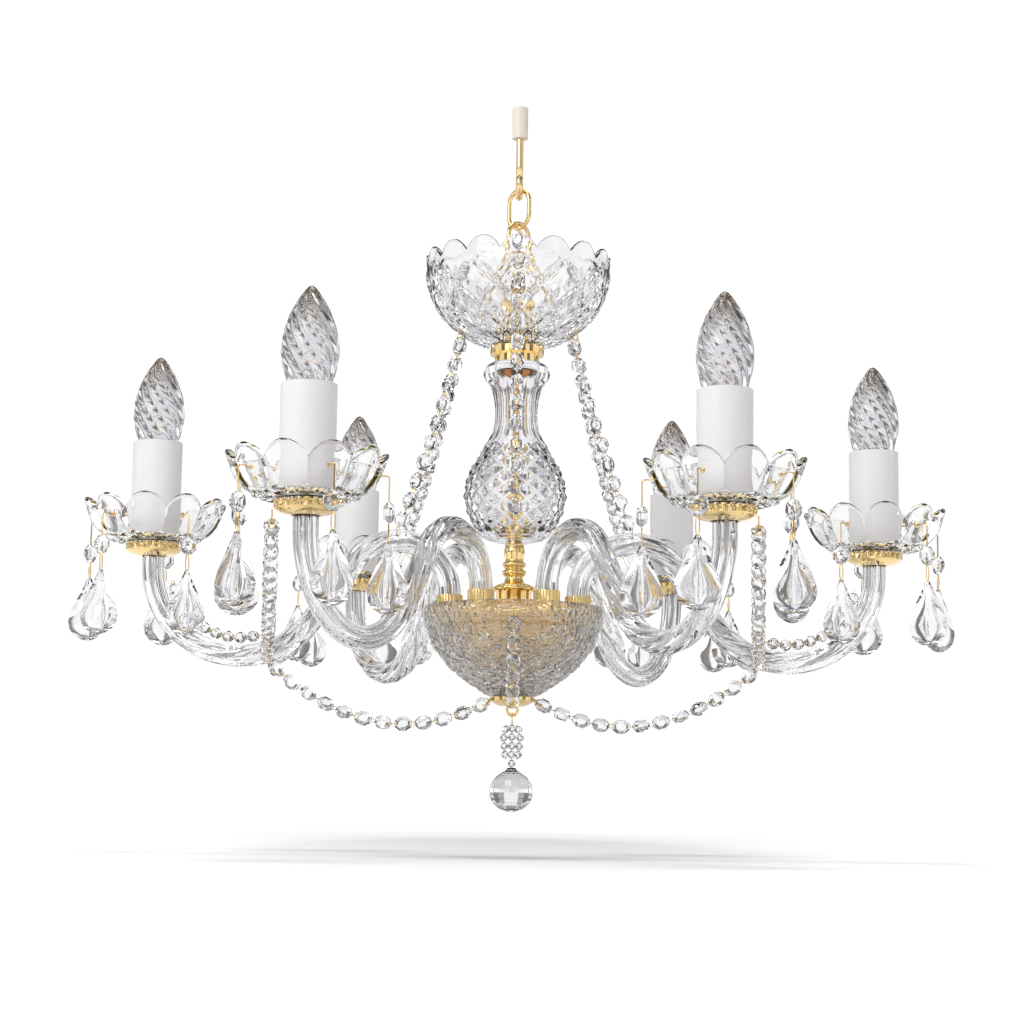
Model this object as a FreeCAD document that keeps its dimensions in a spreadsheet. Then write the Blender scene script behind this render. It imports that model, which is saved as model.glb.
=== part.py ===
"""Six-arm crystal chandelier, hung by a short chain from a hook in the ceiling.

Millimetres, +Z up. The origin is on the ceiling plane at the hook's axis, and the front of the chandelier
faces -Y. Everything hangs below z = 0 except the plug, which sits in the ceiling.
"""
import FreeCAD
import Part
import math
import os

import Sketcher

V = FreeCAD.Vector

SIZES = [
    # Clearances: between pieces that move, between pieces that only fit, and of the chain on its hook.
    ("running_gap", 0.3), ("fit_gap", 0.2), ("hook_play", 0.7),
    # Plug and hook in the ceiling.
    ("plug_diameter", 11), ("plug_length", 22), ("shank_sink", 14.7),
    ("hook_wire", 5), ("hook_bend", 8), ("hook_drop", 41.9),
    # Chain links, and the ring that closes the chain on top of the stem.
    ("link_wire", 3), ("link_length", 30), ("link_width", 21), ("link_turn", 40),
    ("ring_wire", 4), ("ring_diameter", 24), ("ring_sink", 2.6),
    # Central stem: the boss under the ring, and the threaded tube that clamps the whole column.
    ("boss_radius", 8.5), ("boss_height", 42.4), ("boss_waist", 5.5), ("boss_foot_rise", 8.5),
    ("boss_waist_rise", 17.8), ("boss_swell_rise", 26.3), ("boss_neck_rise", 33.9), ("boss_bend", 12.7),
    ("stem_diameter", 8), ("stem_bore", 5), ("stem_entry", 12),
    # Glass dish at the top.
    ("dish_foot_radius", 20), ("dish_low_radius", 55), ("dish_low_rise", 25), ("dish_rim_radius", 65),
    ("dish_wide_rise", 50), ("dish_height", 64), ("dish_wall", 3.5), ("dish_petals", 16),
    ("dish_scallop", 4.5), ("dish_petal_bend", 20.5),
    # Brass collar under the dish.
    ("collar_radius", 18.6), ("collar_step_radius", 15.2), ("collar_rim", 5), ("collar_height", 13),
    ("collar_skin", 2),
    # Glass vase.
    ("vase_height", 121), ("vase_lip_radius", 23.4), ("vase_lip_rise", 115), ("vase_neck_radius", 16.3),
    ("vase_neck_rise", 88), ("vase_belly_radius", 36), ("vase_belly_rise", 30), ("vase_foot_radius", 19),
    ("vase_wall", 4.5), ("vase_shoulder_bend", 46.8), ("vase_neck_bend", 57.6), ("vase_lip_bend", 51.5),
    ("vase_lip_roll", 7.8),
    # Turned brass spindle.
    ("spindle_height", 32), ("spindle_radius", 6.1), ("spindle_bead_radius", 8.2), ("spindle_bead_rise", 11),
    ("spindle_flare_radius", 13),
    # Brass hub with one cup per arm; its plate lies inside the bowl, and the cups stand inside its edge.
    ("arm_count", 6), ("hub_height", 21.6), ("hub_flange_radius", 15.3), ("hub_flange", 2),
    ("hub_drum_radius", 12), ("hub_in_bowl", 4.5), ("hub_plate", 2), ("cup_radius", 9),
    ("cup_height", 14), ("cup_margin", 1),
    # Brass wiring cup under the hub, and the terminal block in it.
    ("wiring_radius", 41), ("wiring_low_radius", 20), ("wiring_height", 34), ("wiring_wall", 1.2),
    ("block_length", 30), ("block_width", 13), ("block_height", 12), ("block_offset", 14),
    # Cut-glass bowl under the hub.
    ("bowl_radius", 62), ("bowl_height", 60), ("bowl_band", 7), ("bowl_low_radius", 42),
    ("bowl_low_rise", 18), ("bowl_foot_radius", 16), ("bowl_wall", 4), ("bowl_lap", 7.3),
    # Brass finial that holds the bowl, with its eye.
    ("finial_radius", 15), ("finial_height", 6), ("finial_web", 2), ("finial_edge_rise", 4),
    ("eye_wire", 2), ("eye_diameter", 9),
    # Ball on its short strand.
    ("ball_diameter", 29.6), ("drop_beads", 3), ("drop_bead_pitch", 9.8), ("drop_bead_radius", 4.4),
    ("loop_wire", 1), ("loop_diameter", 8),
    # Glass arm tube: two bends and the straight between them, which is tangent to both.
    ("arm_diameter", 15.4), ("arm_bore", 9), ("arm_reach", 245), ("arm_crest_rise", 15),
    ("arm_crest_bend", 36), ("arm_low_rise", 31), ("pan_rise", 38),
    # Brass seat on the end of each arm.
    ("seat_radius", 19), ("seat_height", 8.7), ("seat_slope", 3.5), ("seat_socket", 4.5), ("seat_floor", 6),
    ("seat_rim", 1), ("nipple_diameter", 8), ("nipple_bore", 5), ("nipple_rise", 18),
    # Glass drip pan.
    ("pan_foot_radius", 17.6), ("pan_floor", 5), ("pan_low_radius", 36), ("pan_low_rise", 7),
    ("pan_mid_radius", 42.5), ("pan_mid_rise", 16), ("pan_rim_radius", 48.6), ("pan_height", 30.7),
    ("pan_wall", 3), ("pan_petals", 10), ("pan_scallop", 11), ("pan_petal_bend", 16.5),
    # White candle cover, lampholder and bulb.
    ("cover_diameter", 33.5), ("cover_wall", 1.5), ("cover_height", 66.9), ("holder_radius", 13.5),
    ("holder_height", 54), ("socket_depth", 25), ("cap_diameter", 14), ("cap_height", 25),
    ("socket_gap", 0.4), ("bulb_diameter", 35), ("bulb_neck_radius", 9.5), ("bulb_height", 97.6),
    ("bulb_wide_rise", 58), ("bulb_side_bend", 60), ("bulb_shoulder_radius", 11.5),
    ("bulb_shoulder_drop", 18.4), ("bulb_shoulder_bend", 48.8), ("bulb_tip_radius", 2.5),
    # Pendants: pin through the pan, octagon, link and drop.
    ("pendant_holes", 5), ("pendant_phase", 18), ("pin_wire", 1), ("pin_bend", 1.5), ("pin_hole", 3),
    ("pin_level", 18.5), ("pin_inside", 39.5), ("hang_radius", 48.5), ("hang_length", 15),
    ("octagon_size", 13.5), ("octagon_table", 8), ("octagon_thickness", 7), ("pendant_link", 10),
    ("drop_length", 43), ("drop_width", 26), ("drop_thickness", 10),
    # Bead strings: their crystals, where they are tied, and how far each kind hangs through.
    ("bead_radius", 6), ("bead_pitch", 13.5), ("small_bead_radius", 4.2), ("small_bead_pitch", 10.1),
    ("string_pin_radius", 37.9), ("string_spacing", 10.8), ("tie_shift", 20), ("crest_string_sag", 6.8),
    ("pan_string_sag", 13.5), ("garland_sag", 27), ("swag_sag", 10.8), ("swag_hook", 6.7),
]

# How large an arm's low bend is, as a share of the way from the middle of its crest to its seat.
LOW_BEND_SHARE = 0.3625

# How far a cut runs past the wall that it goes through, and the sliver that keeps neighbouring cuts apart.
CUT_PAST = 5.0
CUT_SLIVER = 0.1

# Which way round each pan's pin holes go: the left pans mirror the right ones, the back ones the front ones.
MIRROR_SIDE = {0: 1, 1: -1, 2: 1, 3: -1, 4: -1, 5: 1}


class Size:
    """A length known both as a number and as the expression that ties it to the sheet."""

    def __init__(self, value, text):
        self.value = value
        self.text = text

    def __add__(self, other):
        other = as_size(other)
        return Size(self.value + other.value, f"({self.text} + {other.text})")

    def __sub__(self, other):
        other = as_size(other)
        return Size(self.value - other.value, f"({self.text} - {other.text})")

    def __mul__(self, factor):
        return Size(self.value * factor, f"({self.text} * {factor:.9f})")

    def __truediv__(self, factor):
        return Size(self.value / factor, f"({self.text} / {factor:.9f})")

    def __neg__(self):
        return Size(-self.value, f"(0 - {self.text})")


def as_size(value):
    return value if isinstance(value, Size) else Size(float(value), f"{float(value):.6f}")


doc = FreeCAD.newDocument("Chandelier")
sheet = doc.addObject("Spreadsheet::Sheet", "Sizes")
for row, (alias, number) in enumerate(SIZES, start=1):
    sheet.set(f"A{row}", alias)
    sheet.set(f"B{row}", str(number))
    sheet.setAlias(f"B{row}", alias)
doc.recompute()

S = {alias: Size(float(getattr(sheet, alias)), f"Sizes.{alias}") for alias, _ in SIZES}


def count_of(alias):
    return int(round(S[alias].value))


def numbers(*aliases):
    return [S[alias].value for alias in aliases]


# ---------------------------------------------------------------- levels, from the ceiling down
hook_centre = -S["hook_drop"]
upper_link_top = hook_centre + S["hook_wire"] / 2 + S["link_wire"] / 2 + S["hook_play"]
link_pitch = S["link_length"] - S["link_wire"]
upper_link_bottom = upper_link_top - link_pitch
lower_link_top = upper_link_bottom + S["link_wire"] + S["running_gap"]
lower_link_bottom = lower_link_top - link_pitch
ring_top = lower_link_bottom + S["link_wire"] / 2 + S["ring_wire"] / 2 + S["running_gap"]
ring_centre = ring_top - S["ring_diameter"] / 2 + S["ring_wire"] / 2
boss_top = ring_centre - S["ring_diameter"] / 2 + S["ring_sink"]
boss_bottom = boss_top - S["boss_height"]
dish_base = boss_bottom - S["dish_wall"]
collar_bottom = dish_base - S["collar_height"]
vase_bottom = collar_bottom - S["vase_height"]
spindle_bottom = vase_bottom - S["spindle_height"]
hub_bottom = spindle_bottom - S["hub_height"]
arm_seat = hub_bottom + S["hub_plate"]
bowl_base = hub_bottom + S["bowl_lap"] - S["bowl_height"]
finial_bottom = bowl_base - S["finial_height"]
eye_centre = finial_bottom - S["eye_diameter"] / 2 + S["eye_wire"]
eye_low_wire = eye_centre - S["eye_diameter"] / 2 + S["eye_wire"] / 2
loop_centre = (eye_low_wire + S["eye_wire"] / 2 + S["loop_wire"] + S["running_gap"]) - S["loop_diameter"] / 2
pan_level = arm_seat + S["pan_rise"]
pan_floor_level = pan_level + S["seat_floor"]
cover_level = pan_floor_level + S["pan_floor"]
socket_floor = cover_level + S["holder_height"] - S["socket_depth"]
bulb_level = socket_floor + S["running_gap"]

# ---------------------------------------------------------------- radii that follow others
hub_plate_radius = S["bowl_radius"] - S["bowl_wall"] - S["hub_in_bowl"]
cup_circle = hub_plate_radius - S["cup_radius"] - S["cup_margin"]
crest_reach = cup_circle + S["arm_crest_bend"]
low_bend = (S["arm_reach"] - crest_reach) * LOW_BEND_SHARE


# ---------------------------------------------------------------- helpers
def place(piece, level, x=None, y=None, turn=0.0):
    """Stand a piece at its level and, where it is off the axis, at its arm's place."""
    piece.Placement = FreeCAD.Placement(V(0, 0, 0), FreeCAD.Rotation(V(0, 0, 1), turn))
    piece.setExpression("Placement.Base.z", level.text)
    if x is not None:
        piece.setExpression("Placement.Base.x", x.text)
        piece.setExpression("Placement.Base.y", y.text)


def new_body(label):
    body = doc.addObject("PartDesign::Body", label)
    body.Label = label
    return body


def plane_of(body, role):
    return next(item for item in body.Origin.OriginFeatures if item.Role == role)


def new_sketch(body, name, role):
    sketch = body.newObject("Sketcher::SketchObject", name)
    sketch.AttachmentSupport = [(plane_of(body, role), "")]
    sketch.MapMode = "FlatFace"
    return sketch


def bind(sketch, constraint, size):
    index = sketch.addConstraint(constraint)
    sketch.setExpression(f"Constraints[{index}]", size.text)


def arc_between(start, end, radius):
    """Arc from start to end that bulges to the right of the way, or to the left where radius is negative."""
    chord = end - start
    middle = (start + end) / 2
    right = V(chord.y, -chord.x, 0) / chord.Length
    reach = math.sqrt(radius * radius - chord.Length ** 2 / 4)
    centre = middle - right * math.copysign(reach, radius)
    first, last = (start, end) if radius > 0 else (end, start)
    angles = [math.atan2(point.y - centre.y, point.x - centre.x) for point in (first, last)]
    return Part.ArcOfCircle(Part.Circle(centre, V(0, 0, 1), abs(radius)), *angles)


def draw_outline(sketch, outline):
    """Closed outline of (r, z) corners; a third item is the radius of the arc that leads to that corner."""
    corners = [V(as_size(item[0]).value, as_size(item[1]).value, 0) for item in outline]
    ends = []
    for index, corner in enumerate(corners):
        target = outline[(index + 1) % len(outline)]
        reached = corners[(index + 1) % len(outline)]
        if len(target) == 3:
            bend = target[2]
            geometry = sketch.addGeometry(arc_between(corner, reached, bend.value), False)
            ends.append((geometry, 1, 2) if bend.value > 0 else (geometry, 2, 1))
            size = bend if bend.value > 0 else -bend
            bind(sketch, Sketcher.Constraint("Radius", geometry, size.value), size)
        else:
            geometry = sketch.addGeometry(Part.LineSegment(corner, reached), False)
            ends.append((geometry, 1, 2))
    for index, (geometry, first, last) in enumerate(ends):
        follower = ends[(index + 1) % len(ends)]
        sketch.addConstraint(Sketcher.Constraint("Coincident", geometry, last, follower[0], follower[1]))
        for axis, value in (("X", outline[index][0]), ("Y", outline[index][1])):
            if isinstance(value, Size):
                constraint = Sketcher.Constraint(f"Distance{axis}", -1, 1, geometry, first, value.value)
                bind(sketch, constraint, value)
            else:
                line = -2 if axis == "X" else -1
                sketch.addConstraint(Sketcher.Constraint("PointOnObject", geometry, first, line))


def turned(label, level, outline, x=None, y=None, turn=0.0):
    """A piece turned on its own upright axis from a half section, standing at its level."""
    body = new_body(label)
    sketch = new_sketch(body, f"{label}_section", "XZ_Plane")
    draw_outline(sketch, outline)
    solid = body.newObject("PartDesign::Revolution", f"{label}_turned")
    solid.Profile = sketch
    solid.ReferenceAxis = (sketch, ["V_Axis"])
    solid.Angle = 360
    sketch.Visibility = False
    place(body, level, x, y, turn)
    return body


def ring_on_x(sketch, reach, radius):
    """Circle in a sketch, centred on its X axis at a reach from the origin."""
    ring = sketch.addGeometry(Part.Circle(V(reach.value, 0, 0), V(0, 0, 1), radius.value), False)
    sketch.addConstraint(Sketcher.Constraint("PointOnObject", ring, 3, -1))
    bind(sketch, Sketcher.Constraint("Radius", ring, radius.value), radius)
    bind(sketch, Sketcher.Constraint("DistanceX", -1, 1, ring, 3, reach.value), reach)


def pocket_round(body, name, role, outline=None, circle=None, length=None, copies=1, offset=0.0):
    """Cut a sketch drawn on an upright plane outwards through one side of the wall, and repeat it round Z."""
    sketch = new_sketch(body, f"{body.Label}_{name}", role)
    sketch.AttachmentOffset = FreeCAD.Placement(V(0, 0, 0), FreeCAD.Rotation(V(0, 1, 0), offset))
    if outline:
        draw_outline(sketch, outline)
    else:
        radius, level = circle
        ring = sketch.addGeometry(Part.Circle(V(0, level.value, 0), V(0, 0, 1), radius.value), False)
        sketch.addConstraint(Sketcher.Constraint("PointOnObject", ring, 3, -2))
        bind(sketch, Sketcher.Constraint("Radius", ring, radius.value), radius)
        bind(sketch, Sketcher.Constraint("DistanceY", -1, 1, ring, 3, level.value), level)
    cut = body.newObject("PartDesign::Pocket", f"{sketch.Label}_cut")
    cut.Profile = sketch
    cut.setExpression("Length", length.text)
    cut.Reversed = True
    sketch.Visibility = False
    pattern = body.newObject("PartDesign::PolarPattern", f"{sketch.Label}_round")
    pattern.Originals = [cut]
    pattern.Axis = (sketch, ["V_Axis"])
    pattern.Angle = 360
    pattern.Occurrences = copies
    body.Tip = pattern
    return pattern


def cut_petals(body, petals, rim, wall, height, depth, bend):
    """Shape the rim into petals: each valley between two of them has two round sides."""
    half = (rim - wall) * math.tan(math.pi / petals) - CUT_SLIVER
    crest, above = height + CUT_SLIVER, height + CUT_PAST
    valley = [(0, height - depth, -bend), (half, crest, -bend), (half, above), (-half, above), (-half, crest)]
    pocket_round(body, "valley", "YZ_Plane", outline=valley, length=rim + CUT_PAST, copies=petals)


def feature(label, shape):
    """A piece whose shape is worked out with Part's own functions from the sheet's sizes."""
    piece = doc.addObject("Part::Feature", label)
    piece.Label = label
    piece.Shape = shape
    piece.Placement = FreeCAD.Placement()
    return piece


def joined(label, pieces):
    """One node that holds several pieces, each still its own solid."""
    compound = doc.addObject("Part::Compound", label)
    compound.Label = label
    compound.Links = pieces
    return compound


def wire_rod(edges, diameter):
    """Round wire or tube of one diameter along a smooth path."""
    path = Part.Wire(edges)
    start = edges[0].valueAt(edges[0].FirstParameter)
    heading = edges[0].tangentAt(edges[0].FirstParameter)
    ring = Part.Wire([Part.makeCircle(diameter / 2, start, heading)])
    return path.makePipeShell([ring], True, False)


def arc_edge(centre, radius, across, up, first, last):
    """Arc in the plane of two unit vectors, from one angle to the other, in degrees."""
    def at(angle):
        turn = math.radians(angle)
        return centre + across * (radius * math.cos(turn)) + up * (radius * math.sin(turn))
    return Part.Arc(at(first), at((first + last) / 2), at(last)).toShape()


def line_edge(start, end):
    return Part.LineSegment(start, end).toShape()


def faceted(corners, faces):
    """Closed solid of flat faces."""
    loops = [[corners[i] for i in face] + [corners[face[0]]] for face in faces]
    solid = Part.Solid(Part.Shell([Part.Face(Part.makePolygon(loop)) for loop in loops]))
    return solid if solid.Volume > 0 else solid.reversed()


# ---------------------------------------------------------------- suspension
def ceiling_plug():
    shell = doc.addObject("Part::Cylinder", "plug_outside")
    shell.setExpression("Radius", (S["plug_diameter"] / 2).text)
    shell.setExpression("Height", S["plug_length"].text)
    bore = doc.addObject("Part::Cylinder", "plug_bore")
    bore.setExpression("Radius", (S["hook_wire"] / 2).text)
    bore.setExpression("Height", S["shank_sink"].text)
    plug = doc.addObject("Part::Cut", "ceiling_plug")
    plug.Base = shell
    plug.Tool = bore
    plug.Label = "ceiling_plug"
    return plug


def ceiling_hook():
    """Shank on the axis, a double bend out to the side, and the open round that carries the chain."""
    wire, bend, drop, sink = numbers("hook_wire", "hook_bend", "hook_drop", "shank_sink")
    side, up = V(0, 1, 0), V(0, 0, 1)
    swing, tip = 60, -205
    shift = bend * math.sin(math.radians(swing))
    shank_end = bend + 2 * shift - drop
    edges = [
        line_edge(V(0, 0, sink), V(0, 0, shank_end)),
        arc_edge(V(0, bend, shank_end), bend, side, up, 180, 180 + swing),
        arc_edge(V(0, 0, bend - drop), bend, side, up, swing, tip),
    ]
    return feature("ceiling_hook", wire_rod(edges, wire))


def chain_link(label, top, turn):
    """Oval link in an upright plane turned about Z: two straight sides and two round ends."""
    wire, length, width = numbers("link_wire", "link_length", "link_width")
    across = V(math.cos(math.radians(turn)), math.sin(math.radians(turn)), 0)
    up = V(0, 0, 1)
    half = (width - wire) / 2
    high = V(0, 0, top.value - half)
    low = V(0, 0, top.value - (length - wire) + half)
    edges = [
        line_edge(low + across * half, high + across * half),
        arc_edge(high, half, across, up, 0, 180),
        line_edge(high - across * half, low - across * half),
        arc_edge(low, half, across, up, 180, 360),
    ]
    return feature(label, wire_rod(edges, wire))


def centre_stem():
    """Turned boss with its ring, and the threaded tube that clamps the column together."""
    bore = S["stem_diameter"] / 2 + S["fit_gap"]
    boss = turned("stem_boss", boss_bottom, [
        (bore, 0), (S["boss_radius"], 0), (S["boss_radius"], S["boss_foot_rise"]),
        (S["boss_waist"], S["boss_waist_rise"], -S["boss_bend"]),
        (S["boss_radius"], S["boss_swell_rise"], -S["boss_bend"]),
        (S["boss_radius"], S["boss_neck_rise"]), (S["boss_waist"], S["boss_height"]),
        (0, S["boss_height"]), (0, S["stem_entry"]), (bore, S["stem_entry"]),
    ])
    ring = doc.addObject("Part::Torus", "stem_ring")
    ring.setExpression("Radius1", (S["ring_diameter"] / 2 - S["ring_wire"] / 2).text)
    ring.setExpression("Radius2", (S["ring_wire"] / 2).text)
    turn = S["link_turn"].value
    axis = V(math.cos(math.radians(turn)), math.sin(math.radians(turn)), 0)
    ring.Placement = FreeCAD.Placement(V(0, 0, 0), FreeCAD.Rotation(V(0, 0, 1), axis))
    ring.setExpression("Placement.Base.z", ring_centre.text)
    head = doc.addObject("Part::Fuse", "stem_head")
    head.Base = boss
    head.Tool = ring
    tube_bottom = finial_bottom + S["finial_web"]
    tube_length = boss_bottom + S["stem_entry"] - tube_bottom
    tube = turned("stem_tube", tube_bottom, [
        (S["stem_bore"] / 2, 0), (S["stem_diameter"] / 2, 0), (S["stem_diameter"] / 2, tube_length),
        (S["stem_bore"] / 2, tube_length),
    ])
    return joined("centre_stem", [head, tube])


# ---------------------------------------------------------------- column
def top_dish():
    bore = S["stem_diameter"] / 2 + S["fit_gap"]
    wall = S["dish_wall"]
    dish = turned("top_dish", dish_base, [
        (bore, 0), (S["dish_foot_radius"], 0),
        (S["dish_low_radius"], S["dish_low_rise"], S["dish_height"]),
        (S["dish_rim_radius"], S["dish_wide_rise"], S["dish_rim_radius"]),
        (S["dish_rim_radius"], S["dish_height"]), (S["dish_rim_radius"] - wall, S["dish_height"]),
        (S["dish_rim_radius"] - wall, S["dish_wide_rise"]),
        (S["dish_low_radius"] - wall, S["dish_low_rise"] + wall / 2, -S["dish_rim_radius"]),
        (S["dish_foot_radius"], wall, -S["dish_height"]), (bore, wall),
    ], turn=180 / count_of("dish_petals"))
    cut_petals(dish, count_of("dish_petals"), S["dish_rim_radius"], wall, S["dish_height"],
               S["dish_scallop"], S["dish_petal_bend"])
    return dish


def dish_collar():
    bore = S["stem_diameter"] / 2 + S["fit_gap"]
    height = S["collar_height"]
    shoulder = height - S["collar_rim"]
    skin = S["collar_skin"]
    return turned("dish_collar", collar_bottom, [
        (bore, height - skin), (S["collar_step_radius"] - skin, height - skin),
        (S["collar_step_radius"] - skin, 0),
        (S["collar_step_radius"], 0), (S["collar_step_radius"], shoulder), (S["collar_radius"], shoulder),
        (S["collar_radius"], height), (bore, height),
    ])


def baluster_vase():
    """Glass vase: round foot and belly, slim neck and flared lip, hollow for the stem."""
    bore = S["stem_diameter"] / 2 + S["fit_gap"]
    wall = S["vase_wall"]
    shoulder_radius = (S["vase_belly_radius"] + S["vase_neck_radius"]) / 2
    shoulder_rise = (S["vase_belly_rise"] + S["vase_neck_rise"]) / 2
    top_radius = S["vase_lip_radius"] - wall
    return turned("baluster_vase", vase_bottom, [
        (bore, 0), (S["vase_foot_radius"], 0),
        (S["vase_belly_radius"], S["vase_belly_rise"], S["vase_belly_radius"]),
        (shoulder_radius, shoulder_rise, S["vase_shoulder_bend"]),
        (S["vase_neck_radius"], S["vase_neck_rise"], -S["vase_neck_bend"]),
        (S["vase_lip_radius"], S["vase_lip_rise"], -S["vase_lip_bend"]),
        (top_radius, S["vase_height"], S["vase_lip_roll"]),
        (top_radius - wall * 1.5, S["vase_height"]),
        (S["vase_neck_radius"] - wall, S["vase_neck_rise"]),
        (shoulder_radius - wall, shoulder_rise),
        (S["vase_belly_radius"] - wall, S["vase_belly_rise"], -S["vase_shoulder_bend"]),
        (S["vase_foot_radius"] - wall, wall, -S["vase_belly_radius"]), (bore, wall),
    ])


def vase_spindle():
    bore = S["stem_diameter"] / 2 + S["fit_gap"]
    slim = S["spindle_radius"]
    bead = S["spindle_bead_radius"]
    rise = S["spindle_bead_rise"]
    half = S["spindle_radius"] / 3
    return turned("vase_spindle", spindle_bottom, [
        (bore, 0), (S["spindle_flare_radius"], 0), (S["spindle_flare_radius"], half),
        (slim, rise - half, -S["spindle_flare_radius"]), (bead, rise, S["spindle_radius"]),
        (slim, rise + half, S["spindle_radius"]), (bead, rise + half * 3, S["spindle_height"]),
        (slim, S["spindle_height"], S["spindle_height"]), (bore, S["spindle_height"]),
    ])


def arm_hub():
    """Drum under its flange, on a plate that carries one cup for each arm."""
    bore = S["stem_diameter"] / 2 + S["fit_gap"]
    plate = S["hub_plate"]
    under_flange = S["hub_height"] - S["hub_flange"]
    hub = turned("arm_hub", hub_bottom, [
        (bore, 0), (hub_plate_radius, 0), (hub_plate_radius, plate), (S["hub_drum_radius"], plate),
        (S["hub_drum_radius"], under_flange), (S["hub_flange_radius"], under_flange),
        (S["hub_flange_radius"], S["hub_height"]), (bore, S["hub_height"]),
    ])
    cups = [("cups", (S["cup_radius"], S["arm_diameter"] / 2 + S["fit_gap"]), "PartDesign::Pad"),
            ("wire_holes", (S["arm_bore"] / 2,), "PartDesign::Pocket")]
    for name, radii, kind in cups:
        sketch = new_sketch(hub, f"hub_{name}", "XY_Plane")
        sketch.setExpression("AttachmentOffset.Base.z", plate.text)
        for radius in radii:
            ring_on_x(sketch, cup_circle, radius)
        piece = hub.newObject(kind, f"hub_{name}_one")
        piece.Profile = sketch
        piece.setExpression("Length", (S["cup_height"] if kind.endswith("Pad") else plate + 1).text)
        pattern = hub.newObject("PartDesign::PolarPattern", f"hub_{name}_round")
        pattern.Originals = [piece]
        pattern.Axis = (sketch, ["N_Axis"])
        pattern.Angle = 360
        pattern.Occurrences = count_of("arm_count")
        hub.Tip = pattern
        sketch.Visibility = False
    return hub


def wiring_cup():
    bore = S["stem_diameter"] / 2 + S["fit_gap"]
    wall = S["wiring_wall"]
    height = S["wiring_height"]
    rim, low = S["wiring_radius"], S["wiring_low_radius"]
    return turned("wiring_cup", hub_bottom - height, [
        (bore, 0), (low, 0), (rim, height, S["wiring_radius"]), (rim - wall, height),
        (low, wall, -S["wiring_radius"]), (bore, wall),
    ])


def terminal_block():
    block = doc.addObject("Part::Box", "terminal_block")
    block.Label = "terminal_block"
    block.setExpression("Length", S["block_length"].text)
    block.setExpression("Width", S["block_width"].text)
    block.setExpression("Height", S["block_height"].text)
    place(block, hub_bottom - S["block_height"], -(S["block_length"] / 2),
          S["block_offset"] - S["block_width"] / 2)
    return block


def bottom_bowl():
    bore = S["stem_diameter"] / 2 + S["fit_gap"]
    wall = S["bowl_wall"]
    band = S["bowl_height"] - S["bowl_band"]
    return turned("bottom_bowl", bowl_base, [
        (bore, 0), (S["bowl_foot_radius"], 0),
        (S["bowl_low_radius"], S["bowl_low_rise"], S["bowl_radius"]),
        (S["bowl_radius"], band, S["bowl_radius"]), (S["bowl_radius"], S["bowl_height"]),
        (S["bowl_radius"] - wall, S["bowl_height"]), (S["bowl_radius"] - wall, band),
        (S["bowl_low_radius"] - wall, S["bowl_low_rise"] + wall / 2, -S["bowl_radius"]),
        (S["bowl_foot_radius"] - wall, wall, -S["bowl_radius"]), (bore, wall),
    ])


def bottom_finial():
    """Nut under the bowl with the eye that carries the ball."""
    bore = S["stem_diameter"] / 2 + S["fit_gap"]
    height = S["finial_height"]
    nut = turned("finial_nut", finial_bottom, [
        (0, 0), (S["finial_radius"] / 2, 0), (S["finial_radius"], S["finial_edge_rise"], S["finial_radius"]),
        (S["finial_radius"], height), (bore, height), (bore, S["finial_web"]), (0, S["finial_web"]),
    ])
    eye = doc.addObject("Part::Torus", "finial_eye")
    eye.setExpression("Radius1", (S["eye_diameter"] / 2 - S["eye_wire"] / 2).text)
    eye.setExpression("Radius2", (S["eye_wire"] / 2).text)
    eye.Placement = FreeCAD.Placement(V(0, 0, 0), FreeCAD.Rotation(V(1, 0, 0), 90))
    eye.setExpression("Placement.Base.z", eye_centre.text)
    finial = doc.addObject("Part::Fuse", "bottom_finial")
    finial.Base = nut
    finial.Tool = eye
    finial.Label = "bottom_finial"
    return finial


# ---------------------------------------------------------------- arms and what they carry
def spot(number):
    """Angle of an arm round the axis, and the place of its pan."""
    turn = 360.0 * number / count_of("arm_count")
    reach = S["arm_reach"]
    return turn, reach * math.cos(math.radians(turn)), reach * math.sin(math.radians(turn))


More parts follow.
